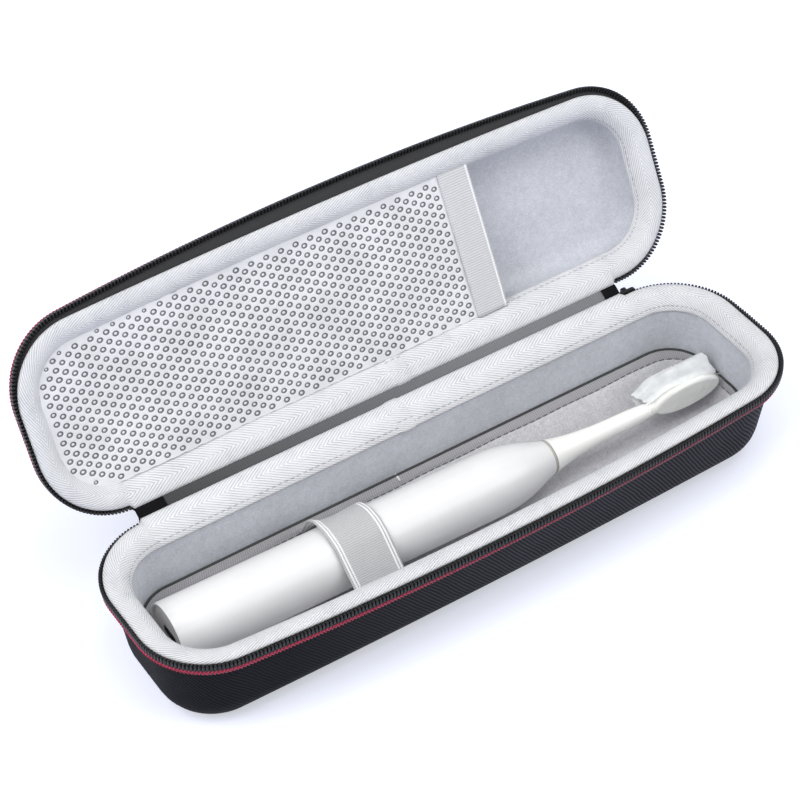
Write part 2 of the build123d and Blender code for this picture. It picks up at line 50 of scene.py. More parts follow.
TAU = 2 * math.pi
RIGHT, UP = np.array([1.0, 0, 0]), np.array([0, 0, 1.0])
rng = np.random.default_rng(7)

# ---------- sizes, as in part.py (mm)
CASE_L, CASE_W, BOW, ZIP_R = 268.0, 73.5, 7.5, 28.5  # the zipper line, its front's bow and its corners
TRAY_H, LID_H, GAP, LID_ANGLE = 43.6, 20.0, 0.6, 118.0
HINGE_Y, HINGE_Z = CASE_W / 2 + 2.0, TRAY_H + GAP / 2
OVERHANG = 2.7  # zipper line outside the lip
LIP_X, LIP_Y, LIP_R = CASE_L / 2 - OVERHANG, CASE_W / 2 - OVERHANG, ZIP_R - OVERHANG
LIP_W, LINING = 6.9, 1.0
INNER = LIP_W + LINING  # lip's outer line to the lining's face
FOOT_BOW = 1.0
TRAY = dict(name="tray", bow=6.3, height=TRAY_H, draft=5.3, wall=4.6, foot=12.0, hollow=8.0, lap=-6.0)
LID = dict(name="lid", bow=2.5, height=LID_H, draft=3.6, wall=4.8, foot=9.0, hollow=6.0, lap=-10.0)
LEDGE_X, LEDGE_LEFT = 101.5, 106.0  # the hinge ledge's right and left ends
LEDGE_OUT = 2.45  # the lip reaches this much further out on the ledge
STRIP_X = 95.0  # half the hinge strip's length
PAD_EDGE, PAD_TOP, PAD_SEAM = 19.5, 7.6, 0.20  # heights; the seam's share of the way down the slope
HANDLE_L, HANDLE_R, HEAD_L = 157.6, 12.4, 77.6
PLATE_T = HANDLE_L + HEAD_L - 15.0  # brush's base to the middle of the bristle plate

turn = math.radians(LID_ANGLE)
LID_OUT = np.array([0, math.sin(turn), math.cos(turn)])
LID_ALONG = np.array([0, -math.cos(turn), math.sin(turn)])
LID_O = np.array([0, HINGE_Y, HINGE_Z]) + LID_ALONG * HINGE_Y + LID_OUT * GAP / 2


def place(half, pts):
    """A half's own coordinates (mm, the third one out of its opening) as world metres."""
    pts = np.asarray(pts, float).reshape(-1, 3)
    if half == "tray":
        return (pts + TRAY_H * UP) * MM
    return (LID_O - pts[:, :1] * RIGHT - pts[:, 1:2] * LID_ALONG - pts[:, 2:3] * LID_OUT) * MM


# ---------- outlines
COUNTS = dict(back=72, corner=26, side=8, front=144)  # points on each stretch


def outline(half_x, half_y, bow, radius):
    """Points and inward normals round a half, from the middle of the hinge side, counterclockwise."""
    big = (half_x**2 + bow**2) / (2 * bow)
    cy = -half_y - bow + big
    fx = half_x - radius
    fy = cy - math.sqrt((big - radius) ** 2 - fx**2)
    by = half_y - radius
    pts, nrm = [], []

    def line(p, q, normal, n):
        for i in range(n):
            f = i / n
            pts.append((p[0] + (q[0] - p[0]) * f, p[1] + (q[1] - p[1]) * f))
            nrm.append(normal)

    def arc(c, r, a0, a1, n):
        for i in range(n):
            a = a0 + (a1 - a0) * i / n
            pts.append((c[0] + r * math.cos(a), c[1] + r * math.sin(a)))
            nrm.append((-math.cos(a), -math.sin(a)))

    meet = math.atan2(fy - cy, -fx) + TAU
    line((0, half_y), (-fx, half_y), (0, -1), COUNTS["back"])
    arc((-fx, by), radius, math.pi / 2, math.pi, COUNTS["corner"])
    line((-half_x, by), (-half_x, fy), (1, 0), COUNTS["side"])
    arc((-fx, fy), radius, math.pi, meet, COUNTS["corner"])
    arc((0, cy), big, meet, 3 * math.pi - meet, COUNTS["front"])
    arc((fx, fy), radius, 3 * math.pi - meet, TAU, COUNTS["corner"])
    line((half_x, fy), (half_x, by), (-1, 0), COUNTS["side"])
    arc((fx, by), radius, 0, math.pi / 2, COUNTS["corner"])
    line((fx, half_y), (0, half_y), (0, -1), COUNTS["back"])
    return np.array(pts), np.array(nrm)


def inset(out, d):
    return out[0] + out[1] * np.asarray(d, float).reshape(-1, 1)


def between(a, b, share):
    return a * (1 - share) + b * share


def lengths(pts):
    """Arc length at each point and the whole length of a closed line."""
    step = np.linalg.norm(np.roll(pts, -1, 0) - pts, axis=1)
    return np.concatenate([[0], np.cumsum(step)[:-1]]), step.sum()


def open_lengths(pts):
    """Arc length at each point of an open line."""
    step = np.linalg.norm(np.diff(pts, axis=0), axis=1)
    return np.concatenate([[0], np.cumsum(step)])


def line_normals(line):
    """Unit normals of an open line in a plane, to the right of its run."""
    run = np.gradient(line, axis=0)
    run /= np.linalg.norm(run, axis=1, keepdims=True)
    return np.column_stack([run[:, 1], -run[:, 0]])


def row(xy, z):
    return np.column_stack([xy, np.full(len(xy), float(z))])


def ring(line, d, z):
    """An outline inset by d, at a height."""
    return row(inset(line, d), z)


def along_line(out, d, pitch, start, stop, phase=0.5):
    """Evenly spaced places on an inset outline between two arc lengths: points, inward normals."""
    xy = inset(out, d)
    s, total = lengths(xy)
    s2, x2 = np.append(s, total), np.vstack([xy, xy[:1]])
    n2 = np.vstack([out[1], out[1][:1]])
    count = int((stop - start) / pitch)
    at = start + (np.arange(count) + phase) * (stop - start) / count
    p = np.column_stack([np.interp(at, s2, x2[:, k]) for k in (0, 1)])
    n = np.column_stack([np.interp(at, s2, n2[:, k]) for k in (0, 1)])
    return p, n / np.linalg.norm(n, axis=1, keepdims=True)


def directions(n):
    """At places with inward normals n, the directions along the line, inwards and up."""
    level = np.zeros(len(n))
    along = np.column_stack([n[:, 1], -n[:, 0], level])
    return along, np.column_stack([n, level]), np.tile(UP, (len(n), 1))


def drawn_in(d, bow):
    """The lip's outline drawn in by d, with a bow of its own."""
    return outline(LIP_X - d, LIP_Y - d, bow, LIP_R - d)


zip_out = outline(CASE_L / 2, CASE_W / 2, BOW, ZIP_R)
for half_case in (TRAY, LID):
    half_case["lip"] = drawn_in(0, half_case["bow"])
    half_case["base"] = drawn_in(half_case["draft"], FOOT_BOW)


# ---------- mesh helpers
def make(name, verts, faces, uvs=None):
    """New smooth mesh object; uvs is one (u, v) per face corner, in metres."""
    mesh = bpy.data.meshes.new(name)
    mesh.from_pydata([tuple(v) for v in np.asarray(verts)], [], faces)
    if uvs is not None:
        layer = mesh.uv_layers.new(name="flat")
        layer.data.foreach_set("uv", np.asarray(uvs, np.float32).ravel())
    mesh.polygons.foreach_set("use_smooth", [True] * len(mesh.polygons))
    mesh.validate()
    obj = bpy.data.objects.new(name, mesh)
    scene.collection.objects.link(obj)
    return obj


def face_out(obj):
    """Turns every face outwards."""
    bm = bmesh.new()
    bm.from_mesh(obj.data)
    bmesh.ops.recalc_face_normals(bm, faces=bm.faces)
    bm.to_mesh(obj.data)
    bm.free()


def corner_values(faces, value):
    """value(vertex number) for each corner of each face."""
    return np.array([value(t) for face in faces for t in face])


def ring_quads(rings, n, base=0):
    """Faces between neighbouring rings of n points."""
    faces = []
    for q in range(base, base + (rings - 1) * n, n):
        for i in range(n):
            j = (i + 1) % n
            faces.append((q + i, q + j, q + n + j, q + n + i))
    return faces


def ring_ends(rings, n, base=0):
    """Faces on the first and the last ring."""
    return [tuple(range(q, q + n)) for q in (base, base + (rings - 1) * n)]


def skin(name, half, rows, closed=True, cap_last=False, keep=None):
    """Quads between rows of points. UV: along the first row, and down the rows."""
    rows = [np.asarray(r, float) for r in rows]
    n = len(rows[0])
    if closed:
        s, total = lengths(rows[0][:, :2])
    else:
        s = open_lengths(rows[0])
        total = s[-1]
    v = [0.0]
    for a, b in zip(rows, rows[1:]):
        v.append(v[-1] + float(np.median(np.linalg.norm(a - b, axis=1))))
    faces, uvs = [], []
    for r in range(len(rows) - 1):
        for i in range(n if closed else n - 1):
            if keep is not None and not keep[i]:
                continue
            j = (i + 1) % n
            faces.append((r * n + i, r * n + j, (r + 1) * n + j, (r + 1) * n + i))
            u0, u1 = s[i], s[j] if j else total
            uvs += [(u0, v[r]), (u1, v[r]), (u1, v[r + 1]), (u0, v[r + 1])]
    if cap_last:
        faces.append(tuple(range((len(rows) - 1) * n, len(rows) * n)))
        uvs += [(p[0], p[1]) for p in rows[-1]]
    obj = make(name, place(half, np.vstack(rows)), faces, np.array(uvs) * MM)
    face_out(obj)
    return obj


def copies(name, half, shape_faces, spots, axes):
    """Copies of a small shape at spots (k, 3); the rows of axes (k, 3, 3) are its x, y, z directions."""
    shape, faces = shape_faces
    verts = spots[:, None, :] + np.einsum("vi,kij->kvj", shape, axes)
    count = len(shape)
    all_faces = [tuple(k * count + i for i in f) for k in range(len(spots)) for f in faces]
    obj = make(name, place(half, verts.reshape(-1, 3)), all_faces)
    face_out(obj)
    return obj


def capsule_shape(length, radius, sides=6, rings=3):
    """A rounded stroke along X."""
    quarter = np.linspace(0, math.pi / 2, rings)
    profile = [(-length / 2 - radius * math.cos(a), radius * math.sin(a)) for a in quarter]
    profile += [(length / 2 + radius * math.sin(a), radius * math.cos(a)) for a in quarter]
    profile = profile[1:-1]
    spokes = [(math.cos(TAU * i / sides), math.sin(TAU * i / sides)) for i in range(sides)]
    pts = [(x, r * c, r * s) for x, r in profile for c, s in spokes]
    return np.array(pts), ring_quads(len(profile), sides) + ring_ends(len(profile), sides)


def noise2(xy, scale, seed):
    """Smooth bumps, one value per point, about -1 to 1."""
    r = np.random.default_rng(seed)
    total = np.zeros(len(xy))
    for _ in range(6):
        a = r.uniform(0, TAU)
        f = TAU / (scale * r.uniform(0.6, 1.8))
        total += np.sin(xy[:, 0] * f * math.cos(a) + xy[:, 1] * f * math.sin(a) + r.uniform(0, TAU))
    return total / 3.2


# ---------- materials
def feed(tree, socket, value):
    """Links a node's output to a socket, or sets the socket's own value."""
    if isinstance(value, bpy.types.NodeSocket):
        tree.links.new(value, socket)
    elif socket.type == "RGBA":
        socket.default_value = (*value, 1.0)
    else:
        socket.default_value = value


def put(tree, kind, inputs=None, **props):
    """New node with its properties and inputs."""
    node = tree.nodes.new(kind)
    for key, value in props.items():
        setattr(node, key, value)
    for key, value in (inputs or {}).items():
        feed(tree, node.inputs[key], value)
    return node


def tint(color, factor):
    return tuple(min(1.0, c * factor) for c in color)


class Mat:
    """A material under construction, with a few maths shortcuts."""

    def __init__(self, name, rough, sockets=None):
        self.material = bpy.data.materials.new(name)
        self.material.use_nodes = True
        self.tree = self.material.node_tree
        self.shader = self.tree.nodes["Principled BSDF"]
        for socket, value in {"Roughness": rough, **(sockets or {})}.items():
            self.use(socket, value)

    def use(self, socket, value):
        feed(self.tree, self.shader.inputs[socket], value)

    def math(self, op, a, b=0.0, c=0.0):
        return put(self.tree, "ShaderNodeMath", {0: a, 1: b, 2: c}, operation=op).outputs[0]

    def weigh(self, *parts, base=0.0):
        """Weighted sum of (value, weight) pairs."""
        for value, weight in parts:
            base = self.math("MULTIPLY_ADD", value, weight, base)
        return base

    def distance(self, a, b):
        return self.math("ABSOLUTE", self.math("SUBTRACT", a, b))

    def uv(self):
        """(u, v) in mm."""
        flat = put(self.tree, "ShaderNodeUVMap", uv_map="flat").outputs[0]
        split = put(self.tree, "ShaderNodeSeparateXYZ", {0: flat}).outputs
        return self.math("MULTIPLY", split[0], 1 / MM), self.math("MULTIPLY", split[1], 1 / MM)

    def spot(self):
        """The place on the object, in metres."""
        return put(self.tree, "ShaderNodeTexCoord").outputs["Object"]

    def xyz(self):
        return put(self.tree, "ShaderNodeSeparateXYZ", {0: self.spot()}).outputs

    def wave(self, x, pitch):
        """0..1 sine of x with that pitch."""
        return self.weigh((self.math("SINE", self.math("MULTIPLY", x, TAU / pitch)), 0.5), base=0.5)

    def noise(self, size_mm, detail=2.0):
        inputs = {"Vector": self.spot(), "Scale": 1000.0 / size_mm, "Detail": detail, "Roughness": 0.6}
        return put(self.tree, "ShaderNodeTexNoise", inputs).outputs["Fac"]

    def mix(self, share, a, b):
        return put(self.tree, "ShaderNodeMix", {0: share, 6: a, 7: b}, data_type="RGBA").outputs[2]

    def ramp(self, x, low, high):
        return put(self.tree, "ShaderNodeMapRange", {0: x, 1: low, 2: high, 3: 0.0, 4: 1.0}).outputs[0]

    def finish(self, color, height, depth_mm, strength):
        """Sets the colour and the bump and gives the material."""
        inputs = {"Height": height, "Distance": depth_mm * MM, "Strength": strength}
        self.use("Base Color", color)
        self.use("Normal", put(self.tree, "ShaderNodeBump", inputs).outputs[0])
        return self.material


TAPE_DARK, TAPE_LIGHT = (0.37, 0.38, 0.41), (0.76, 0.765, 0.785)
CORD_WHITE = (0.84, 0.84, 0.85)
# painted highlight: the colour the twill's ridges reach on the right
LIT_RIDGE_RIGHT = (0.044, 0.042, 0.050)


def case_twill(name, color):
    """Near-black nylon with raised diagonal ribs, which catch more light towards the right."""
    m = Mat(name, 0.62, {"Specular IOR Level": 0.05})
    u, v = m.uv()
    slow = m.noise(14.0)
    ribs = m.wave(m.weigh((slow, 1.6), (v, -0.70), (u, 1.0)), 1.50)
    fine = m.wave(m.weigh((u, 1.0), (v, -1.6)), 0.46)
    edge = m.ramp(ribs, 0.15, 0.75)
    tone = m.weigh((m.noise(0.35), 0.36), (slow, 0.2), (edge, 0.62))
    # painted highlight: the ridges go from 1.5 times the base colour on the left to a lit grey on the right
    ridge = m.mix(m.ramp(m.xyz()[0], -90 * MM, 10 * MM), tint(color, 1.5), LIT_RIDGE_RIGHT)
    m.use("Roughness", m.weigh((ribs, -0.10), base=0.66))
    color = m.mix(m.ramp(tone, 0.2, 1.0), tint(color, 0.45), ridge)
    return m.finish(color, m.weigh((fine, 0.2), (edge, 0.8)), 0.16, 0.9)


def herringbone(name, width):
    """White twill tape: two halves of slanted ridges that meet in a spine, and a stitch line."""
    m = Mat(name, 0.78, {"Specular IOR Level": 0.3})
    u, v = m.uv()
    off = m.distance(v, width / 2)
    groove = m.ramp(m.wave(m.weigh((off, 2.0), (m.noise(5.0), 0.5), (u, 1.0)), 1.85), 0.02, 0.46)
    yarn = m.wave(m.weigh((u, 1.0), (v, -2.2)), 0.42)
    spine = m.weigh((m.ramp(off, 0.05, 0.35), 0.5), base=0.5)
    dash = m.ramp(m.wave(u, 2.6), 0.30, 0.45)
    stitch = m.math("MULTIPLY", m.ramp(m.distance(v, width - 1.7), 0.34, 0.14), dash)
    ridges = m.math("MULTIPLY", m.weigh((groove, 0.75), (yarn, 0.16)), spine)
    patch = m.ramp(m.noise(7.0, 3.0), 0.25, 0.75)
    tone = m.weigh((groove, 0.62), (patch, 0.45), (stitch, -0.55), base=0.10)
    color = m.mix(m.ramp(tone, 0.0, 0.85), TAPE_DARK, TAPE_LIGHT)
    return m.finish(color, m.weigh((ridges, 1.0), (stitch, -0.9)), 0.20, 0.9)


def velvet(name, color, speck=0.20):
    """Short pile, speckled."""
    m = Mat(name, 0.88, {"Sheen Weight": 0.25, "Sheen Roughness": 0.5})
    fine, mid = m.noise(0.55, 3.0), m.noise(2.4)
    tone = m.weigh((fine, 0.6), (mid, 0.25), (m.noise(26.0), 0.25))
    color = m.mix(m.ramp(tone, 0.38, 0.72), tint(color, 1 - speck), tint(color, 1 + speck))
    return m.finish(color, m.weigh((fine, 1.0), (mid, 0.6)), 0.10, 0.55)


def ribbed(name, color, pitch, cords=(), across=False, specular=0.5):
    """Elastic or woven band: ribs along its width, and pale cords at the given places on it."""
    m = Mat(name, 0.75, {"Specular IOR Level": specular})
    u, v = m.uv()
    if across:
        u, v = v, u
    ribs = m.wave(m.weigh((m.noise(5.0), 0.25), (u, 1.0)), pitch)
    height = m.weigh((ribs, 0.7), (m.wave(v, 0.62), 0.3))
    tone = m.weigh((height, 0.7), (m.noise(0.5), 0.4))
    color = m.mix(m.ramp(tone, 0.15, 0.95), tint(color, 0.70), tint(color, 1.15))
    for cord in cords:
        near = m.ramp(m.distance(v, cord), 0.42, 0.22)
        color = m.mix(near, color, CORD_WHITE)
        height = m.weigh((height, 1.0), (near, 1.2))
    return m.finish(color, height, 0.12, 0.8)


def moulded(name, color, rough, grain=0.35, depth=0.012, coat=0.0, vary=0.04, metal=0.0, specular=0.5):
    """Plastic, rubber or metal with a fine grain and slow variation of colour and gloss."""
    m = Mat(name, rough, {"Metallic": metal, "Specular IOR Level": specular})
    if coat:
        m.use("Coat Weight", coat)
        m.use("Coat Roughness", 0.25)
    worn = m.ramp(m.noise(18.0, 3.0), 0.35, 0.65)
    m.use("Roughness", m.weigh((m.noise(6.0, 3.0), 0.14), base=rough - 0.07))
    color = m.mix(worn, tint(color, 1 - vary), tint(color, 1 + vary * 0.6))
    return m.finish(color, m.noise(grain, 3.0), depth, 0.6)


def paint_shade_to_left(material, share):
    """Painted shade along a band's length: full colour on the right, a share of it on the left."""
    tree = material.node_tree
    base = tree.nodes["Principled BSDF"].inputs["Base Color"]
    length = put(tree, "ShaderNodeSeparateXYZ", {0: put(tree, "ShaderNodeTexCoord").outputs["UV"]}).outputs[0]
    reach = {0: length, 1: -STRIP_X * MM, 2: STRIP_X * MM * 0.5, 3: share, 4: 1.0}
    fade = put(tree, "ShaderNodeMapRange", reach).outputs[0]
    inputs = {0: base.links[0].from_socket, "Scale": fade}
    feed(tree, base, put(tree, "ShaderNodeVectorMath", inputs, operation="SCALE").outputs[0])


def thread(name, color):
    """Twisted sewing thread."""
    m = Mat(name, 0.55)
    x, y, z = m.xyz()
    ply = m.wave(m.weigh((x, 1 / MM), (y, 1 / MM), (z, 1 / MM)), 0.35)
    return m.finish(m.mix(ply, tint(color, 0.6), color), ply, 0.05, 0.8)


def film_material(name, dark, light, low, spread):
    """Thin film with soft creases; its opacity runs from low to low + spread."""
    m = Mat(name, 0.22, {"Coat Weight": 0.5, "Coat Roughness": 0.15})
    m.material.surface_render_method = "BLENDED"
    crease, lines = m.noise(9.0), m.noise(4.0)
    milk = m.ramp(crease, 0.35, 0.65)
    m.use("Alpha", m.weigh((milk, spread), (m.ramp(lines, 0.60, 0.70), 0.08), base=low))
    return m.finish(m.mix(milk, dark, light), m.weigh((crease, 1.0), (lines, 0.4)), 0.3, 0.4)


TAPE_UV_WIDTH = 13.6  # the binding tape's unrolled width (mm)
M_CASE = case_twill("case_twill", (0.0048, 0.0050, 0.0070))
M_TAPE = herringbone("binding_herringbone", TAPE_UV_WIDTH)
M_LINING = velvet("lining_velvet", (0.50, 0.515, 0.56))
M_PAD = velvet("pad_velvet", (0.50, 0.495, 0.515), 0.26)
M_PAD_EDGE = ribbed("pad_edge_rib", (0.33, 0.325, 0.34), 0.9)
M_ZIPTAPE = ribbed("zipper_tape_weave", (0.016, 0.016, 0.018), 0.7)
M_BAND = ribbed("sewn_band_weave", (0.030, 0.034, 0.033), 0.6)
M_TEETH = moulded("zipper_coil_plastic", (0.006, 0.006, 0.0065), 0.30, specular=0.28)
M_RED = thread("red_thread", (0.62, 0.014, 0.075))
M_GREY_THREAD = thread("grey_thread", (0.13, 0.13, 0.14))
M_HINGE = ribbed("hinge_strip_weave", (0.165, 0.17, 0.18), 0.9)
# painted shade: the hinge strip darkens towards its left end
paint_shade_to_left(M_HINGE, 0.18)
M_TAB = ribbed("tab_weave", (0.004, 0.004, 0.005), 0.8, specular=0.08)
M_ELASTIC = ribbed("pocket_elastic", (0.60, 0.605, 0.62), 0.95, cords=(11.9,), across=True)
STRAP_CORDS = (1.0, 2.1, 17.9, 19.0)  # places across the strap (mm)
M_STRAP = ribbed("strap_elastic", (0.50, 0.50, 0.51), 0.8, cords=STRAP_CORDS)
M_MESH = moulded("mesh_yarn", (0.70, 0.70, 0.72), 0.75, grain=0.3, depth=0.05, vary=0.08)
# painted shade: the dark colour given to the sloping walls of the mesh holes
M_MESH_HOLE_SHADE = moulded("mesh_hole_painted_shade", (0.15, 0.15, 0.165), 0.8, grain=0.3, depth=0.05, vary=0.15)
M_BRUSH = moulded("brush_plastic", (0.76, 0.76, 0.76), 0.34, coat=0.25, vary=0.02)
M_HEADP = moulded("head_plastic", (0.93, 0.93, 0.89), 0.36, coat=0.2, vary=0.02)
M_CAP = moulded("cap_plastic", (0.82, 0.79, 0.75), 0.42, vary=0.15)
M_PORT = moulded("port_plastic", (0.03, 0.03, 0.03), 0.45)
M_RUBBER = moulded("seal_rubber", (0.42, 0.40, 0.37), 0.6)
M_STEEL = moulded("steel", (0.55, 0.55, 0.56), 0.3, metal=1.0, vary=0.05)
M_INNER = moulded("inner_plastic", (0.4, 0.4, 0.41), 0.5)
M_BATT = moulded("battery_wrap", (0.06, 0.16, 0.36), 0.35)
M_BOARD = moulded("board_resin", (0.02, 0.12, 0.05), 0.35)
M_WINDOW = moulded("window_plastic", (0.68, 0.69, 0.70), 0.2, coat=0.4)
M_SLIDER = moulded("slider_enamel", (0.015, 0.015, 0.016), 0.32, coat=0.5, vary=0.2)
M_BRISTLE = moulded("bristle_nylon", (0.78, 0.78, 0.74), 0.5, grain=0.2, vary=0.1)
M_FILM = film_material("clear_film", (0.86, 0.86, 0.80), (0.92, 0.92, 0.88), 0.08, 0.12)
M_FILM_MILKY = film_material("milky_film", (0.87, 0.90, 0.90), (0.94, 0.95, 0.95), 0.70, 0.18)


def dress(obj, material, body, nodes=()):
    """One material, the body that the piece rides on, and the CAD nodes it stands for."""
    obj.data.materials.clear()
    obj.data.materials.append(material)
    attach(obj, body)
    if nodes:
        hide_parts(*nodes)
    return obj


# ---------- shells, linings, tapes (mm)
SHELL_TUCK = 1.2  # the shell's wall behind its lip
LINING_WAVE = 0.168
TAPE_W = INNER + 0.8  # over this width the tape's reach on the ledge fades out
TAPE_CLIP = -0.55  # the tape's furthest point outside the ledge
TAPE_LAP, TAPE_LIFT = 7.0, 0.42  # the lapped end's length and thickness
TOOTH_PITCH, COIL_Z, COIL_SINK, COIL_SQUASH = 1.36, -1.72, 0.6, 0.55  # the last two at the tray's back
STITCH_PITCH, STITCH_TOP, STITCH_THIN = 1.30, -3.35, 0.62
STITCH_ROWS = ((0.015, 0.0, 1.0), (0.06, -0.98, -1.0))  # share from zipper line to lip, drop, slant
# sections, outside to inside: (inset from the lip, height over the rim)
TAPE_PROFILE = (
    (-0.75, -2.0), (-1.15, -1.35), (-1.05, -0.75), (-0.45, -0.30), (0.8, -0.02), (2.2, -0.02), (3.6, -0.38),
    (4.9, -1.0), (6.1, -1.9), (7.2, -3.1), (8.0, -4.4), (8.45, -5.5), (8.5, -6.0), (8.2, -6.1), (7.95, -5.5),
)
# (share of the way from the zipper line to the lip, height)
BAND_PROFILE = (
    (0.10, -2.9), (0.0, -3.05), (0.03, -3.5), (0.08, -4.4), (0.20, -5.3), (0.45, -6.4), (0.80, -7.5),
    (1.0, -8.1), (1.18, -8.15),
)


def world_x(half, pts):
    """World X of a half's own points: the lid's own X runs the other way."""
    return pts[:, 0] if half["name"] == "tray" else -pts[:, 0]


def on_ledge(half, slack=0.0):
    """Which places of the lip lie on the hinge ledge."""
    lip = half["lip"][0]
    x = world_x(half, lip)
    return (x < LEDGE_X + slack) & (x > -LEDGE_LEFT - slack) & (lip[:, 1] > 0)


def foot_rows(half, lip_inset, foot_inset, depth, radius, z_start, steps=9):
    """Rows from the wall at z_start down to the closed end, with a rounded foot."""
    foot = half["base"]
    high, low = inset(half["lip"], lip_inset), inset(foot, foot_inset)
    run = depth + z_start
    bend = radius * 1.08
    rows = [row(between(high, low, f), z_start - run * f) for f in np.linspace(0, 1 - bend / run, 5)]
    lean = (high - low) * (bend / run)
    for a in np.linspace(0, math.pi / 2, steps)[1:]:
        shift, rise = radius * (1 - math.cos(a)), 1 - math.sin(a)
        rows.append(row(inset(foot, foot_inset + shift) + lean * rise, bend * rise - depth))
    return rows


def build_shell(half):
    name, lip, foot = half["name"], half["lip"], half["base"]
    ledge = on_ledge(half)
    grow = np.where(ledge, -LEDGE_OUT, 0.0)
    rows = [ring(lip, LIP_W - 0.9, -3.6), ring(lip, 2.6, -1.3), ring(lip, 0.3 + grow, -1.0)]
    rows += [ring(lip, grow, -1.6), ring(lip, grow, -3.0), ring(lip, np.where(ledge, grow, SHELL_TUCK), -7.9)]
    rows += foot_rows(half, SHELL_TUCK, 0.0, half["height"], half["foot"], -8.0)
    rows += [ring(foot, half["foot"] + d, -half["height"]) for d in (3.6, 8.1)]
    shell = skin(name + "_shell_skin", name, rows, cap_last=True)
    dress(shell, M_CASE, name, [name + "_shell"])


def build_lining(half):
    """The padded lining, softly waved."""
    name, lip, foot = half["name"], half["lip"], half["base"]
    wall, hollow = half["wall"], half["hollow"]
    depth = half["height"] - wall - LINING
    rows = [ring(lip, INNER, -4.9)]
    rows += foot_rows(half, INNER, wall + LINING, depth, hollow - LINING, -5.4)
    rows += [ring(foot, wall + hollow + d, -depth) for d in (3.0, 7.0)]
    for r in rows[2:-1]:
        r[:, :2] += lip[1] * noise2(r[:, :2] + r[:, 2:3], 46.0, 3)[:, None] * LINING_WAVE
    lining = skin(name + "_lining_skin", name, rows, cap_last=True)
    solid = lining.modifiers.new("thickness", "SOLIDIFY")
    solid.thickness = 0.7 * MM
    solid.offset = 1.0
    dress(lining, M_LINING, name, [name + "_lining"])


def tape_reach(d):
    """Inset of the tape's section over the hinge ledge, where it reaches further out."""
    return max(d, TAPE_CLIP) - LEDGE_OUT * max(0.0, 1 - max(d, 0) / TAPE_W)


def build_binding(half):
    """The binding tape: a crowned lip, wider over the hinge ledge."""
    name = half["name"]
    ledge = on_ledge(half)
    rows = [ring(half["lip"], np.where(ledge, tape_reach(d), d), z) for d, z in TAPE_PROFILE]
    tape = skin(name + "_binding_tape_woven", name, rows)
    dress(tape, M_TAPE, name, [name + "_binding_tape"])


def build_binding_end(half):
    """The binding tape's free end, folded under and lapped over its start on the hinge side."""
    at = np.linspace(TAPE_LAP, 0.0, 9)
    lift = TAPE_LIFT * np.clip((TAPE_LAP - at) / 1.2, 0, 1) ** 0.5 * np.clip(at / 2.5 + 0.15, 0, 1)
    rows = []
    for d, z in TAPE_PROFILE:
        low = max(0.0, (d - 6.0) / 2.6)  # how far the section has turned down the inner wall
        x = half["lap"] + at + 0.10 * max(d, TAPE_CLIP)
        rows.append(np.column_stack([x, LIP_Y - tape_reach(d) - lift * low, z + lift * (1 - low)]))
    under = [r - 0.5 * UP for r in rows[::-1]]
    name = half["name"]
    lap = skin(name + "_binding_tape_end", name, rows + under + rows[:1], closed=False)
    dress(lap, M_TAPE, name)


def build_zipper(half):
    """Woven flange under the coil, rolled band sewn to the wall below it, red stitches, coil teeth."""
    name, lip = half["name"], half["lip"]
    away = ~on_ledge(half, 0.3)
    a, b = inset(zip_out, 0.35), inset(lip, -0.02)
    rows = [row(b, -1.9), ring(zip_out, 1.9, -2.1), ring(zip_out, 1.6, -2.35), row(a, -2.45)]
    rows += [ring(zip_out, 0.15, -2.7), row(a, -2.95), row(b, -3.05)]
    tape = skin(name + "_zipper_tape_woven", name, rows, keep=away)
    dress(tape, M_ZIPTAPE, name, [name + "_zipper_tape"])
    high, low = inset(zip_out, 0.45), inset(lip, 0.55)
    rows = [row(between(high, low, share), z) for share, z in BAND_PROFILE]
    dress(skin(name + "_sewn_band", name, rows, keep=away), M_BAND, name)
    ends = (LEDGE_LEFT, LEDGE_X) if name == "tray" else (LEDGE_X, LEDGE_LEFT)
    build_stitches(half, high, low, *ends)
    build_teeth(half, *ends)


def build_stitches(half, high, low, first, last):
    """Two slanted rows of red strokes round the band, shorter towards the right."""
    name = half["name"]
    for k, (share, drop, slant) in enumerate(STITCH_ROWS):
        line = (between(high, low, share), zip_out[1])
        stop = lengths(line[0])[1] - last - 1.5
        p, n = along_line(line, -0.05, STITCH_PITCH, first + 1.5, stop, 0.5 if k else 0.2)
        wide = STITCH_THIN + (1 - STITCH_THIN) * np.clip((40.0 - world_x(half, p)) / 110.0, 0, 1)
        along, inwards, up = directions(n)
        stroke = along * 0.64 + up * 0.77 * slant
        axes = np.stack([stroke, inwards, np.cross(stroke, inwards)], 1) * wide[:, None, None]
        spots = np.column_stack([p, STITCH_TOP + drop * wide])
        stitches = copies(f"{name}_red_stitches_{k + 1}", name, capsule_shape(1.15, 0.25), spots, axes)
        dress(stitches, M_RED, name)


def build_teeth(half, first, last):
    """The coil row; at the tray's back it lies lower and flatter."""
    name = half["name"]
    stop = lengths(zip_out[0])[1] - last - 0.6
    p, n = along_line(zip_out, 0.0, TOOTH_PITCH, first + 0.6, stop)
    back = np.clip(p[:, 1] / (CASE_W / 2), 0, 1) if name == "tray" else np.zeros(len(p))
    along, inwards, up = directions(n)
    axes = np.stack([along, inwards, up * (1 - COIL_SQUASH * back)[:, None]], 1)
    spots = np.column_stack([p, COIL_Z - COIL_SINK * back])
    teeth = copies(name + "_coil_teeth", name, tooth_shape(), spots, axes)
    dress(teeth, M_TEETH, name, [name + "_zipper_chain"])


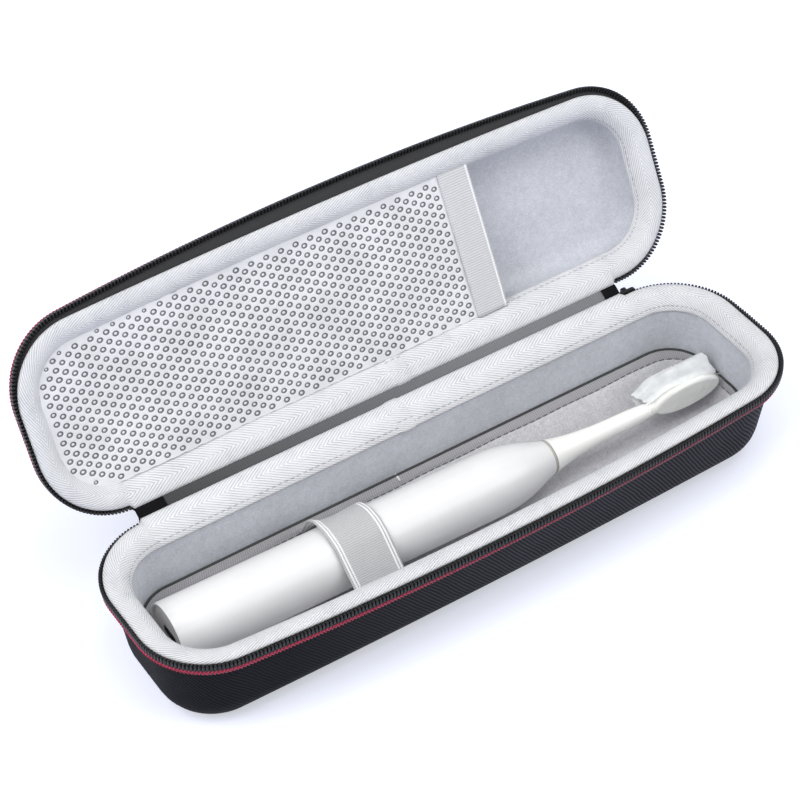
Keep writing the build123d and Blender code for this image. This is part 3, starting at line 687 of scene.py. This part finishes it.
def tooth_shape(sides=8):
    """One coil turn: a rounded loop head outside, two legs going in. X along, Y inwards, Z up (mm)."""
    # (Y, half width, depth below, height above)
    sections = [(0.02, 0.26, 0.34, 1.50), (0.16, 0.48, 0.56, 1.82), (0.6, 0.55, 0.65, 1.70)]
    sections += [(1.1, 0.52, 0.62, 1.05), (1.6, 0.50, 0.54, 0.60), (2.0, 0.44, 0.38, 0.40)]
    pts = []
    for y, half_x, down, high in sections:
        for i in range(sides):
            a = TAU * (i + 0.5) / sides
            c, s = (np.sign(v) * abs(v) ** 0.6 for v in (math.cos(a), math.sin(a)))
            pts.append((half_x * c, y, (high if s > 0 else down) * s))
    return np.array(pts), ring_quads(len(sections), sides) + ring_ends(len(sections), sides)


for half_case in (TRAY, LID):
    build_shell(half_case)
    build_lining(half_case)
    build_binding(half_case)
    build_binding_end(half_case)
    build_zipper(half_case)

# ---------- floor pad (mm)
PAD_ROUND = 1.3  # the pad's edge inside its rim
PAD_STEPS = (0.05, 0.11, 0.165, PAD_SEAM, 0.235, 0.29, 0.38, 0.48, 0.58, 0.70, 0.80, 0.88)
PAD_EDGE_ROWS = range(3, 8)  # these rows of faces are the ribbed edge
CORD_FROM, CORD_TO = np.array([-8.9, 25.7, PAD_EDGE + 0.55]), np.array([-8.6, 21.7, PAD_EDGE - 0.75])


def pad_slope(share):
    """Height of the pad's slope, a share of the way from its edge to its floor."""
    return PAD_EDGE - 0.4 - (PAD_EDGE - 0.4 - PAD_TOP) * share**1.12


def pad_wave(xy):
    return noise2(xy, 38.0, 11) * 0.30


def build_pad():
    wall_low, wall_high = TRAY["wall"] + LINING, TRAY_H - 3.0
    foot_in = TRAY["draft"] + TRAY["wall"] + LINING
    share = (PAD_EDGE - wall_low) / (wall_high - wall_low)
    rim_in, bow = between(foot_in, INNER, share), between(FOOT_BOW, TRAY["bow"], share)
    rim, edge = drawn_in(rim_in, bow), drawn_in(rim_in + PAD_ROUND, bow)
    low = outline(LIP_X - foot_in - 3.5, LIP_Y - foot_in - 11.5, FOOT_BOW, 6.0)
    rows = [ring(rim, 0.4, PAD_EDGE - 1.6), ring(rim, 0.15, PAD_EDGE - 0.5), ring(rim, 0.45, PAD_EDGE)]
    rows += [ring(edge, -0.35, PAD_EDGE + 0.12), ring(edge, 0.0, PAD_EDGE - 0.25)]
    top, bottom = inset(edge, 0.1), inset(low, 0.0)
    for f in PAD_STEPS:
        groove = math.exp(-(((f - PAD_SEAM) / 0.025) ** 2)) * 0.5
        rows.append(row(between(top, bottom, f), pad_slope(f) - groove + 0.1))
    rows += [ring(low, d, PAD_TOP + rise) for d, rise in ((0.6, 0.45), (2.2, 0.12), (5.0, 0.0))]
    for r in rows[5:]:
        r[:, 2] += pad_wave(r[:, :2])
    pad = skin("floor_pad_quilted", "tray", [r - TRAY_H * UP for r in rows], cap_last=True)
    dress(pad, M_PAD, "tray", ["floor_pad"])
    pad.data.materials.append(M_PAD_EDGE)
    around = len(rim[0])
    for k in range(PAD_EDGE_ROWS.start * around, PAD_EDGE_ROWS.stop * around):
        pad.data.polygons[k].material_index = 1
    build_pad_trim(edge, between(top, bottom, PAD_SEAM))


def build_pad_trim(edge, seam):
    """The near-black tube that paints the shadow gap behind the pad's edge, the dashed seam and the sewn-down
    end of the edge cord.
    """
    rows = []
    for a in np.linspace(0, TAU, 9):
        rows.append(ring(edge, 0.55 * math.cos(a) - 0.75, PAD_EDGE - TRAY_H + 0.05 + 0.45 * math.sin(a)))
    # painted shade: a near-black tube along the pad's edge stands in for the shadow gap between pad and wall
    dress(skin("floor_pad_edge_shadow_tube", "tray", rows), M_BAND, "tray")
    p, n = along_line((seam, edge[1]), 0.0, 3.0, 0.0, lengths(seam)[1] - 0.1)
    spots = np.column_stack([p, pad_slope(PAD_SEAM) - 0.12 - TRAY_H + pad_wave(p)])
    axes = np.stack(directions(n), 1)
    stitches = copies("floor_pad_stitches", "tray", capsule_shape(1.7, 0.24), spots, axes)
    dress(stitches, M_GREY_THREAD, "tray")
    reach = CORD_TO - CORD_FROM
    length = float(np.linalg.norm(reach))
    x = reach / length
    y = np.cross(UP, x)
    y /= np.linalg.norm(y)
    spots = (CORD_FROM + CORD_TO)[None] / 2 - TRAY_H * UP
    axes = np.stack([x, y, np.cross(x, y)])[None]
    cord_end = copies("floor_pad_cord_end", "tray", capsule_shape(length, 0.42, sides=8), spots, axes)
    dress(cord_end, M_MESH, "tray")


build_pad()

# ---------- toothbrush frame
YAW = math.radians(-1.26)
B_ALONG = np.array([math.cos(YAW), math.sin(YAW), 0])
B_FRONT = np.array([-math.sin(YAW), math.cos(YAW), 0])
B_O = np.array([-116.3, 2.75, PAD_TOP + 0.3 + HANDLE_R])  # the middle of the brush's base


def bp(t, front=0.0, up=0.0):
    """Points along the brush (mm), towards its front and up."""
    t, front, up = (np.asarray(v, float)[..., None] for v in (t, front, up))
    return B_O + t * B_ALONG + front * B_FRONT + up * UP


# ---------- holding strap (mm)
STRAP_X, STRAP_W, STRAP_THICK = -52.4, 20.0, 1.2
STRAP_FEET = np.array([21.5, 15.6]), np.array([-23.5, 15.6])  # (Y, Z) of its sewn ends, back and front
STRAP_GAP = 0.35  # strap's underside over the handle


def tangent_angle(centre, radius, foot, side):
    """Direction from the centre to where the line from foot touches the circle, on the upper side."""
    d = foot - centre
    return math.atan2(d[1], d[0]) + side * math.acos(radius / np.linalg.norm(d))


def strap_line():
    """The strap's (Y, Z) course over the handle, and its normals away from the handle."""
    centre = np.array([B_O[1] + (STRAP_X + STRAP_W / 2 - B_O[0]) * math.tan(YAW), B_O[2]])
    radius = HANDLE_R + STRAP_GAP
    back = tangent_angle(centre, radius, STRAP_FEET[0], 1)
    front = tangent_angle(centre, radius, STRAP_FEET[1], -1)
    if front < back:
        front += TAU
    angles = np.linspace(back, front, 44)
    over = centre + radius * np.column_stack([np.cos(angles), np.sin(angles)])
    rise = [between(STRAP_FEET[0], over[0], f) for f in (0.0, 0.35, 0.7)]
    fall = [between(over[-1], STRAP_FEET[1], f) for f in (0.3, 0.65, 1.0)]
    line = np.vstack([rise, over, fall])
    out = line_normals(line)
    middle = len(out) // 2
    if np.dot(out[middle], line[middle] - centre) < 0:
        out = -out
    return line, out


def build_strap():
    line, out = strap_line()
    s = open_lengths(line)
    xs = np.concatenate([[0.0, 0.15, 0.5], np.linspace(1.0, 19.0, 25), [19.5, 19.85, STRAP_W]])
    top, under = [], []
    for x in xs:
        bulge = 2.6 * max(0.0, 1 - x / 7.0) ** 2  # the left edge stands off the handle at the back
        lift = bulge * np.exp(-(((s - s[-1] * 0.27) / 9.0) ** 2)) + 0.12 * np.sin(s * 0.5 + x * 0.4) ** 2
        ridge = 0.22 * sum(math.exp(-(((x - cord) / 0.38) ** 2)) for cord in STRAP_CORDS)
        thin = 0.45 * max(0, 1 - min(x, STRAP_W - x) / 0.5) ** 2
        lead = 0.9 * np.sin((s / s[-1]) * math.pi) * (x / STRAP_W - 0.5)
        for grid, height in ((top, STRAP_THICK - thin + ridge), (under, 0.05 + thin)):
            grid.append(np.column_stack([STRAP_X + x + lead, line + out * (lift + height)[:, None]]))
    m, n = len(xs), len(line)
    verts = np.vstack(top + under)
    faces, uvs = [], []

    def add(*corners):
        """A face; a corner is its place across and along the strap, and 0 on top or 1 underneath."""
        faces.append(tuple(i * n + j + below * m * n for i, j, below in corners))
        uvs.extend((s[j], xs[i]) for i, j, below in corners)

    for i in range(m - 1):
        for j in range(n - 1):
            add((i, j, 0), (i, j + 1, 0), (i + 1, j + 1, 0), (i + 1, j, 0))
            add((i, j, 1), (i + 1, j, 1), (i + 1, j + 1, 1), (i, j + 1, 1))
    for i in (0, m - 1):
        for j in range(n - 1):
            add((i, j, 0), (i, j + 1, 0), (i, j + 1, 1), (i, j, 1))
    for j in (0, n - 1):
        for i in range(m - 1):
            add((i, j, 0), (i + 1, j, 0), (i + 1, j, 1), (i, j, 1))
    strap = make("holding_strap_woven", verts * MM, faces, np.array(uvs) * MM)
    face_out(strap)
    dress(strap, M_STRAP, "tray", ["holding_strap"])


build_strap()

# ---------- mesh pocket and its band (mm)
POCKET_IN, POCKET_Z = 7.25, -3.35  # the pocket's border inside the lip, and its height
MESH_END = 44.7  # the mesh's end at the pocket's mouth
HOLE_PITCH, HOLE_R, HOLE_R_EDGE = 3.55, 1.12, 0.8
HOLE_WIDE, HOLE_TALL = 1.14, 0.92  # a hole's stretch along and across the lid
HOLE_RINGS = ((1.10, 0.08), (1.0, -0.02), (0.90, -0.22), (0.46, -0.26), (0.38, -0.10))  # share, height
CELL_POINTS = 12
BAND_X, BAND_W, BAND_POINTS = 44.2, 13.0, 40
BAND_STEPS = np.array([0, 0.1, 0.35, 0.8, 1.6, 3, 5, 7, 9, 10.6, 11.3, 11.8, 12.3, 12.7, 12.9, BAND_W])


def pocket_limits(x):
    """Lowest and highest y of the pocket's border at x."""
    here = inset(LID["lip"], POCKET_IN)
    after = np.roll(here, -1, axis=0)
    cut = ((here[:, 0] - x) * (after[:, 0] - x) <= 0) & (here[:, 0] != after[:, 0])
    a, b = here[cut], after[cut]
    y = a[:, 1] + (b[:, 1] - a[:, 1]) * (x - a[:, 0]) / (b[:, 0] - a[:, 0])
    return y.min(), y.max()


def cell_outline(x, y, x_low):
    """Corners and edge middles of a six-sided cell, kept inside the pocket's border."""
    pts = []
    for i in range(CELL_POINTS):
        a = TAU * i / CELL_POINTS
        reach = HOLE_PITCH / 2 / math.cos(a % (math.pi / 3) - math.pi / 6)
        px = min(max(x + reach * math.cos(a), x_low), MESH_END + 1.0)
        low, high = pocket_limits(px)
        pts.append((px, min(max(y + reach * math.sin(a), low), high), 0.0))
    return pts


def ring_area(pts):
    x, y = np.array(pts)[:, :2].T
    return abs(np.sum(x * np.roll(y, -1) - np.roll(x, -1) * y)) / 2


def build_mesh():
    """Knitted mesh: six-sided cells, each with a hole whose walls carry painted shade; holes are left out at
    the border.
    """
    side = HOLE_PITCH / math.sqrt(3)
    x_max = inset(LID["lip"], POCKET_IN)[:, 0].max()
    x_low = 0.02 - x_max
    verts, faces, hole_faces = [], [], []
    k = CELL_POINTS
    for column in range(int((MESH_END + 1.2 + x_max) / (1.5 * side)) + 1):
        x = column * 1.5 * side - x_max
        low, high = pocket_limits(max(x_low, x))
        low_wide, high_wide = pocket_limits(x + side)  # the border widens towards the mouth
        for r in range(-14, 15):
            y = (r + (column % 2) / 2) * HOLE_PITCH
            if y < min(low, low_wide) - 1.4 or y > max(high, high_wide) + 1.4:
                continue
            inside = min(y - low, high - y, MESH_END - x, x + x_max)
            size = HOLE_R if inside > 1.9 else (HOLE_R_EDGE if inside > 1.2 else 0.0)
            size *= rng.uniform(0.93, 1.05)
            start = rng.uniform(-0.06, 0.06)
            cell = cell_outline(x, y, x_low)
            if ring_area(cell) < 0.02:  # the whole cell is past the border
                continue
            base = len(verts)
            verts += cell
            if size == 0:
                faces += ring_ends(1, k, base)[:1]
                continue
            for share, height in HOLE_RINGS:
                for i in range(k):
                    a = TAU * i / k + start
                    wide, tall = size * share * HOLE_WIDE, size * share * HOLE_TALL
                    verts.append((x + wide * math.cos(a), y + tall * math.sin(a), height))
            hole_faces += range(len(faces) + 2 * k, len(faces) + 4 * k)
            rings = len(HOLE_RINGS) + 1
            faces += ring_quads(rings, k, base) + ring_ends(rings, k, base)[1:]
    uvs = corner_values(faces, lambda t: verts[t][:2])
    pts = np.array(verts)
    wave = 0.35 * noise2(pts[:, :2], 55.0, 21)
    pts[:, 2] += POCKET_Z + wave * np.clip((pts[:, 0] + x_max) / 20, 0, 1)
    pts[:, 0] *= -1  # the lid's own X runs the other way
    obj = make("mesh_pocket_knit", place("lid", pts), faces, uvs * MM)
    dress(obj, M_MESH, "lid", ["mesh_pocket"])
    # painted shade on the sloping walls of each hole
    obj.data.materials.append(M_MESH_HOLE_SHADE)
    for i in hole_faces:
        obj.data.polygons[i].material_index = 1


def build_pocket_band():
    """The elastic band over the pocket's mouth."""
    rows = []
    for side in (1, -1):
        for x in BAND_STEPS[::side]:
            low, high = pocket_limits(BAND_X + x)
            ys = np.linspace(low - 0.3, high + 0.3, BAND_POINTS)
            thick = 0.55 - 0.5 * max(0.0, 1 - min(x, BAND_W - x) / 0.35) ** 2
            thick += 0.28 if 11.4 < x < 12.6 else 0
            sag = 0.15 * np.sin(np.pi * (ys - ys[0]) / (ys[-1] - ys[0]))
            z = POCKET_Z + 0.35 + side * thick + sag
            rows.append(np.column_stack([np.full(BAND_POINTS, -(BAND_X + x)), ys, z]))
    verts = np.vstack(rows)
    count, n = len(rows), BAND_POINTS
    faces = []
    for a in range(count):
        b = (a + 1) % count
        faces += [(a * n + j, a * n + j + 1, b * n + j + 1, b * n + j) for j in range(n - 1)]
    faces += [tuple(q * n + j for q in range(count)) for j in (0, n - 1)]
    uvs = corner_values(faces, lambda t: (-verts[t, 0] - BAND_X, verts[t, 1]))
    band = make("pocket_band_woven", place("lid", verts), faces, uvs * MM)
    face_out(band)
    dress(band, M_ELASTIC, "lid", ["pocket_elastic_band"])


build_mesh()
build_pocket_band()

# ---------- hinge strip (mm)
STRIP_OUT = 2.55  # the strip's underside outside the lip
STRIP_MARKS = [("tray", z) for z in (-8.0, -5.0, -1.2, 0.1)] + [("lid", z) for z in (0.1, -1.2, -5.0, -8.0)]
STRIP_PARTS = (  # left and right end, thickness, material, CAD node, slot
    (-STRIP_X, STRIP_X, 0.7, M_HINGE, "hinge_strip", "hinge_fabric"),
    (-LEDGE_LEFT, 0.3 - STRIP_X, 1.0, M_TAB, "hinge_tab_left", "tab_fabric"),
    (STRIP_X - 0.3, LEDGE_X, 1.0, M_TAB, "hinge_tab_right", "tab_fabric"),
)


def hinge_line():
    """The strip's (Y, Z) course from the tray's back wall to the lid's, smoothed."""
    spots = [place(half, [(0, LIP_Y + STRIP_OUT, z)])[0, 1:] / MM for half, z in STRIP_MARKS]
    line = np.vstack([np.linspace(a, b, 7)[:-1] for a, b in zip(spots, spots[1:])] + [spots[-1:]])
    for _ in range(10):
        line[3:-3] = 0.25 * line[2:-4] + 0.5 * line[3:-3] + 0.25 * line[4:-2]
    return line


def build_hinge():
    line = hinge_line()
    out = line_normals(line)
    step = open_lengths(line)
    v = np.concatenate([step, step[::-1]])
    for x0, x1, thick, material, node, slot in STRIP_PARTS:
        xs = np.linspace(x0, x1, 97 if x1 - x0 > 20 else 7)
        section = np.vstack([line + out * thick, (line - out * 0.05)[::-1]])
        m = len(section)
        verts = np.vstack([np.column_stack([np.full(m, x), section]) for x in xs])
        faces = ring_quads(len(xs), m) + ring_ends(len(xs), m)
        uvs = corner_values(faces, lambda t: (xs[t // m], v[t % m]))
        obj = make(node + "_woven", verts * MM, faces, uvs * MM)
        face_out(obj)
        obj.data.materials.append(material)
        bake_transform(obj)
        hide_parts(node)


build_hinge()

# ---------- bristles (mm)
TUFT_PITCH, TUFT_ROW, TUFT_SHIFT = 1.75, 1.5, 0.87
FIELD_LONG, FIELD_WIDE = 10.9, 4.7  # half-axes of the oval that the tufts fill
HAIRS, HAIR_SPREAD, HAIR_SIDES = 12, 0.62, 5
GOLDEN = 2.399963  # golden angle, radians
HAIR_PROFILE = ((0.0, 0.11), (0.55, 0.11), (0.96, 0.10), (1.0, 0.04))  # share of the length, radius


def hair_rings(t, u, length, spread, angle):
    """Rings of one bristle, which leans outwards from its tuft."""
    pts = []
    for share, radius in HAIR_PROFILE:
        lean = 0.018 * spread * share * length
        for i in range(HAIR_SIDES):
            a = TAU * i / HAIR_SIDES
            along = t + radius * math.cos(a) + lean * math.cos(angle)
            up = u + radius * math.sin(a) + lean * math.sin(angle)
            pts.append(bp(PLATE_T + along, 2.25 + share * length, up))
    return pts


def build_bristles():
    verts, faces = [], []
    for i in range(-6, 7):
        for j in range(-3, 4):
            t, u = i * TUFT_PITCH + j % 2 * TUFT_SHIFT, j * TUFT_ROW
            if (t / FIELD_LONG) ** 2 + (u / FIELD_WIDE) ** 2 > 1.0:
                continue
            for hair in range(HAIRS):
                angle, spread = hair * GOLDEN, HAIR_SPREAD * math.sqrt((hair + 0.5) / HAIRS)
                length = 8.3 + rng.uniform(-0.25, 0.1)
                rings, base = len(HAIR_PROFILE), len(verts)
                faces += ring_quads(rings, HAIR_SIDES, base) + ring_ends(rings, HAIR_SIDES, base)[1:]
                root_t, root_u = t + spread * math.cos(angle), u + spread * math.sin(angle)
                verts += hair_rings(root_t, root_u, length, spread, angle)
    tufts = make("bristle_tufts", np.array(verts) * MM, faces)
    face_out(tufts)
    dress(tufts, M_BRISTLE, "head", ["bristle_block"])


build_bristles()

# ---------- film over the head (mm)
FILM_NEAR, FILM_FAR = -18.0, 15.2  # the bag's two ends, from the plate's middle
FILM_LOW, FILM_HIGH = -3.0, 9.9  # behind the plate and over the bristles
FILM_RINGS, FILM_SIDES = 70, 80
CLEAR_BELOW = -0.45  # cosine round the bag below which the film stays clear
# stiff tips where the bag is torn: along, front and up of the root, length, rise and sideways lift
FILM_TIPS = (
    (11.0, 10.2, 2.0, 6.5, 2.2, 1.6), (12.5, 9.0, 3.2, 6.0, -1.8, 2.6), (13.5, 6.0, 4.0, 4.6, 1.5, 1.4),
    (12.0, 10.6, -0.5, 5.6, 1.4, -0.6), (14.0, -1.4, 3.4, 3.6, -1.6, 1.0), (14.4, -2.2, 2.0, 3.2, -2.2, -1.0),
)


def crinkle(t, a, waves):
    """Sharp soft folds that run mostly along the bag."""
    total = sum(height * math.sin(along * t + turns * a + phase) for along, turns, phase, height in waves)
    return abs(math.sin(total)) - 0.5


def draw_waves(r, count, along, turns, height):
    """Random waves of crinkle, each value between its limits."""
    waves = range(count)
    return [(r.uniform(*along), r.integers(*turns), r.uniform(0, TAU), r.uniform(*height)) for _ in waves]


def film_grid():
    """A loose bag: hugs the plate, keeps its width over the bristles."""
    r = np.random.default_rng(12)
    folds = draw_waves(r, 7, (0.06, 0.30), (2, 7), (0.3, 0.9))
    fine = draw_waves(r, 6, (0.5, 1.1), (5, 13), (0.2, 0.6))
    torn = r.uniform(-1.0, 1.0, FILM_SIDES)
    torn = 0.6 * torn + 0.4 * np.roll(torn, 1)
    pts = []
    for q in range(FILM_RINGS):
        share = q / (FILM_RINGS - 1)
        t = FILM_NEAR + (FILM_FAR - FILM_NEAR) * share
        lobe = math.sqrt(max(0.02, 1 - (max(t, 0.0) / 16.0) ** 2))
        wide = min(1.0, (t - FILM_NEAR) / 11.0)
        wide = wide * wide * (3 - 2 * wide)
        high = FILM_HIGH + 2.1 * min(1.0, share / 0.22) + 0.3 * share
        end = max(0.0, (share - 0.80) / 0.20) ** 2 - max(0.0, (0.14 - share) / 0.14) ** 2
        for i in range(FILM_SIDES):
            a = TAU * i / FILM_SIDES
            c, s = math.cos(a), math.sin(a)
            front = (FILM_LOW + high) / 2 + np.sign(c) * abs(c) ** 0.55 * (high - FILM_LOW) / 2
            upper = min(1.0, max(0.0, (front - 1.5) / 5.0))
            half_width = between(between(3.9, 1.5, upper), between(6.75 * lobe, 5.6, upper), wide)
            up = np.sign(s) * abs(s) ** 0.75 * half_width
            if t > 0 and front < 1.5:
                front = -1.0 + (front + 1.0) * (0.55 + 0.45 * lobe)
            fold = 0.26 * crinkle(t, a, folds) * (0.35 + 0.65 * wide) + 0.05 * crinkle(t, a, fine)
            pts.append(bp(PLATE_T + t + end * (torn[i] - 0.2), front + fold * c, up + fold * s))
    return pts


def build_film():
    verts = film_grid()
    faces = ring_quads(FILM_RINGS, FILM_SIDES)
    for t, front, up, length, rise, lift in FILM_TIPS:
        base = len(verts)
        for q in range(7):
            w = q / 6
            half_width = 0.55 * (1 - w) ** 0.7 + 0.04
            sway = lift * w + 0.8 * math.sin(w * 5.0 + t) * w
            for side in (-1, 0, 1):
                crown = (side == 0) * 0.3 * (1 - w)
                spot_front = front + rise * w + side * half_width * 0.7
                verts.append(bp(PLATE_T + t + length * w, spot_front, up + sway + crown))
        for p in (base + q * 3 + side for q in range(6) for side in (0, 1)):
            faces.append((p, p + 1, p + 4, p + 3))
    film = make("head_film_crinkled", np.array(verts) * MM, faces)
    dress(film, M_FILM, "head", ["head_film"])
    film.data.materials.append(M_FILM_MILKY)
    for j in range(FILM_SIDES):
        if math.cos(TAU * (j + 0.5) / FILM_SIDES) > CLEAR_BELOW:
            for i in range(FILM_RINGS - 1):
                film.data.polygons[i * FILM_SIDES + j].material_index = 1


build_film()

# ---------- carried-over rigid pieces
CARRIED = {
    "handle_housing": M_BRUSH, "base_cap": M_CAP, "charging_port": M_PORT, "inner_chassis": M_INNER,
    "battery_cell": M_BATT, "drive_motor": M_STEEL, "circuit_board": M_BOARD, "switch_dome": M_STEEL,
    "power_button": M_BRUSH, "indicator_window": M_WINDOW, "seal_ring": M_RUBBER, "drive_shaft": M_STEEL,
    "brush_head": M_HEADP, "zipper_slider": M_SLIDER, "zipper_pull": M_SLIDER,
}
for node_name, node_material in CARRIED.items():
    node_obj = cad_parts[node_name]
    node_obj.data.materials.clear()
    node_obj.data.materials.append(node_material)


# ---------- floor, light, camera
def seen_directly(tree):
    """1 where the camera or a reflection looks, 0 for light that falls on the part."""
    path = put(tree, "ShaderNodeLightPath").outputs
    rays = {0: path["Is Camera Ray"], 1: path["Is Glossy Ray"]}
    return put(tree, "ShaderNodeMath", rays, operation="MAXIMUM").outputs[0]


def build_floor():
    """White floor that glows a little to the camera, so that it meets the white backdrop."""
    bpy.ops.mesh.primitive_plane_add(size=6.0, location=(0, 0, -0.0002))
    floor = bpy.context.object
    floor.name = "floor"
    m = Mat("floor_white", 0.9, {"Base Color": (0.74, 0.78, 0.95), "Specular IOR Level": 0.1})
    glow = m.math("MULTIPLY", seen_directly(m.tree), 0.38)
    emission = put(m.tree, "ShaderNodeEmission", {"Color": (1, 1, 1), "Strength": glow})
    both = put(m.tree, "ShaderNodeAddShader", {0: m.shader.outputs[0], 1: emission.outputs[0]})
    feed(m.tree, m.tree.nodes["Material Output"].inputs["Surface"], both.outputs[0])
    floor.data.materials.append(m.material)


def build_world():
    world = bpy.data.worlds.new("studio")
    scene.world = world
    world.use_nodes = True
    tree = world.node_tree
    background = tree.nodes["Background"].inputs
    strength = put(tree, "ShaderNodeMapRange", {0: seen_directly(tree), 3: 0.47, 4: 1.0})
    feed(tree, background["Color"], (0.96, 0.97, 1.0))
    feed(tree, background["Strength"], strength.outputs[0])


def lamp(name, place_m, size, power, target=(0, 0.02, 0.04)):
    data = bpy.data.lights.new(name, "AREA")
    data.shape = "RECTANGLE"
    data.size, data.size_y = size
    data.energy = power
    obj = bpy.data.objects.new(name, data)
    scene.collection.objects.link(obj)
    obj.location = place_m
    obj.rotation_mode = "QUATERNION"
    obj.rotation_quaternion = (Vector(target) - Vector(place_m)).to_track_quat("-Z", "Y")


build_floor()
build_world()
lamp("key", (-0.85, -0.05, 1.05), (0.9, 0.9), 9.8)
lamp("fill", (0.75, -0.9, 0.75), (0.9, 0.9), 6.6)
lamp("top", (0.1, -0.25, 1.3), (1.0, 0.6), 5.0)

# fitted to the photo: the camera's directions and place
CAM_RIGHT = (0.8380, -0.5447, -0.0322)
CAM_UP = (0.3946, 0.5644, 0.7251)
CAM_BACK = (-0.3768, -0.6203, 0.6879)
CAM_POS = (-0.3476, -0.5391, 0.6802)
cam_data = bpy.data.cameras.new("camera")
cam_data.lens, cam_data.sensor_width = 114.5, 36.0
cam = bpy.data.objects.new("camera", cam_data)
scene.collection.objects.link(cam)
cam_turn = Matrix([CAM_RIGHT, CAM_UP, CAM_BACK]).transposed()
cam.matrix_world = Matrix.Translation(CAM_POS) @ cam_turn.to_4x4()
scene.camera = cam
scene.view_settings.view_transform = "Standard"
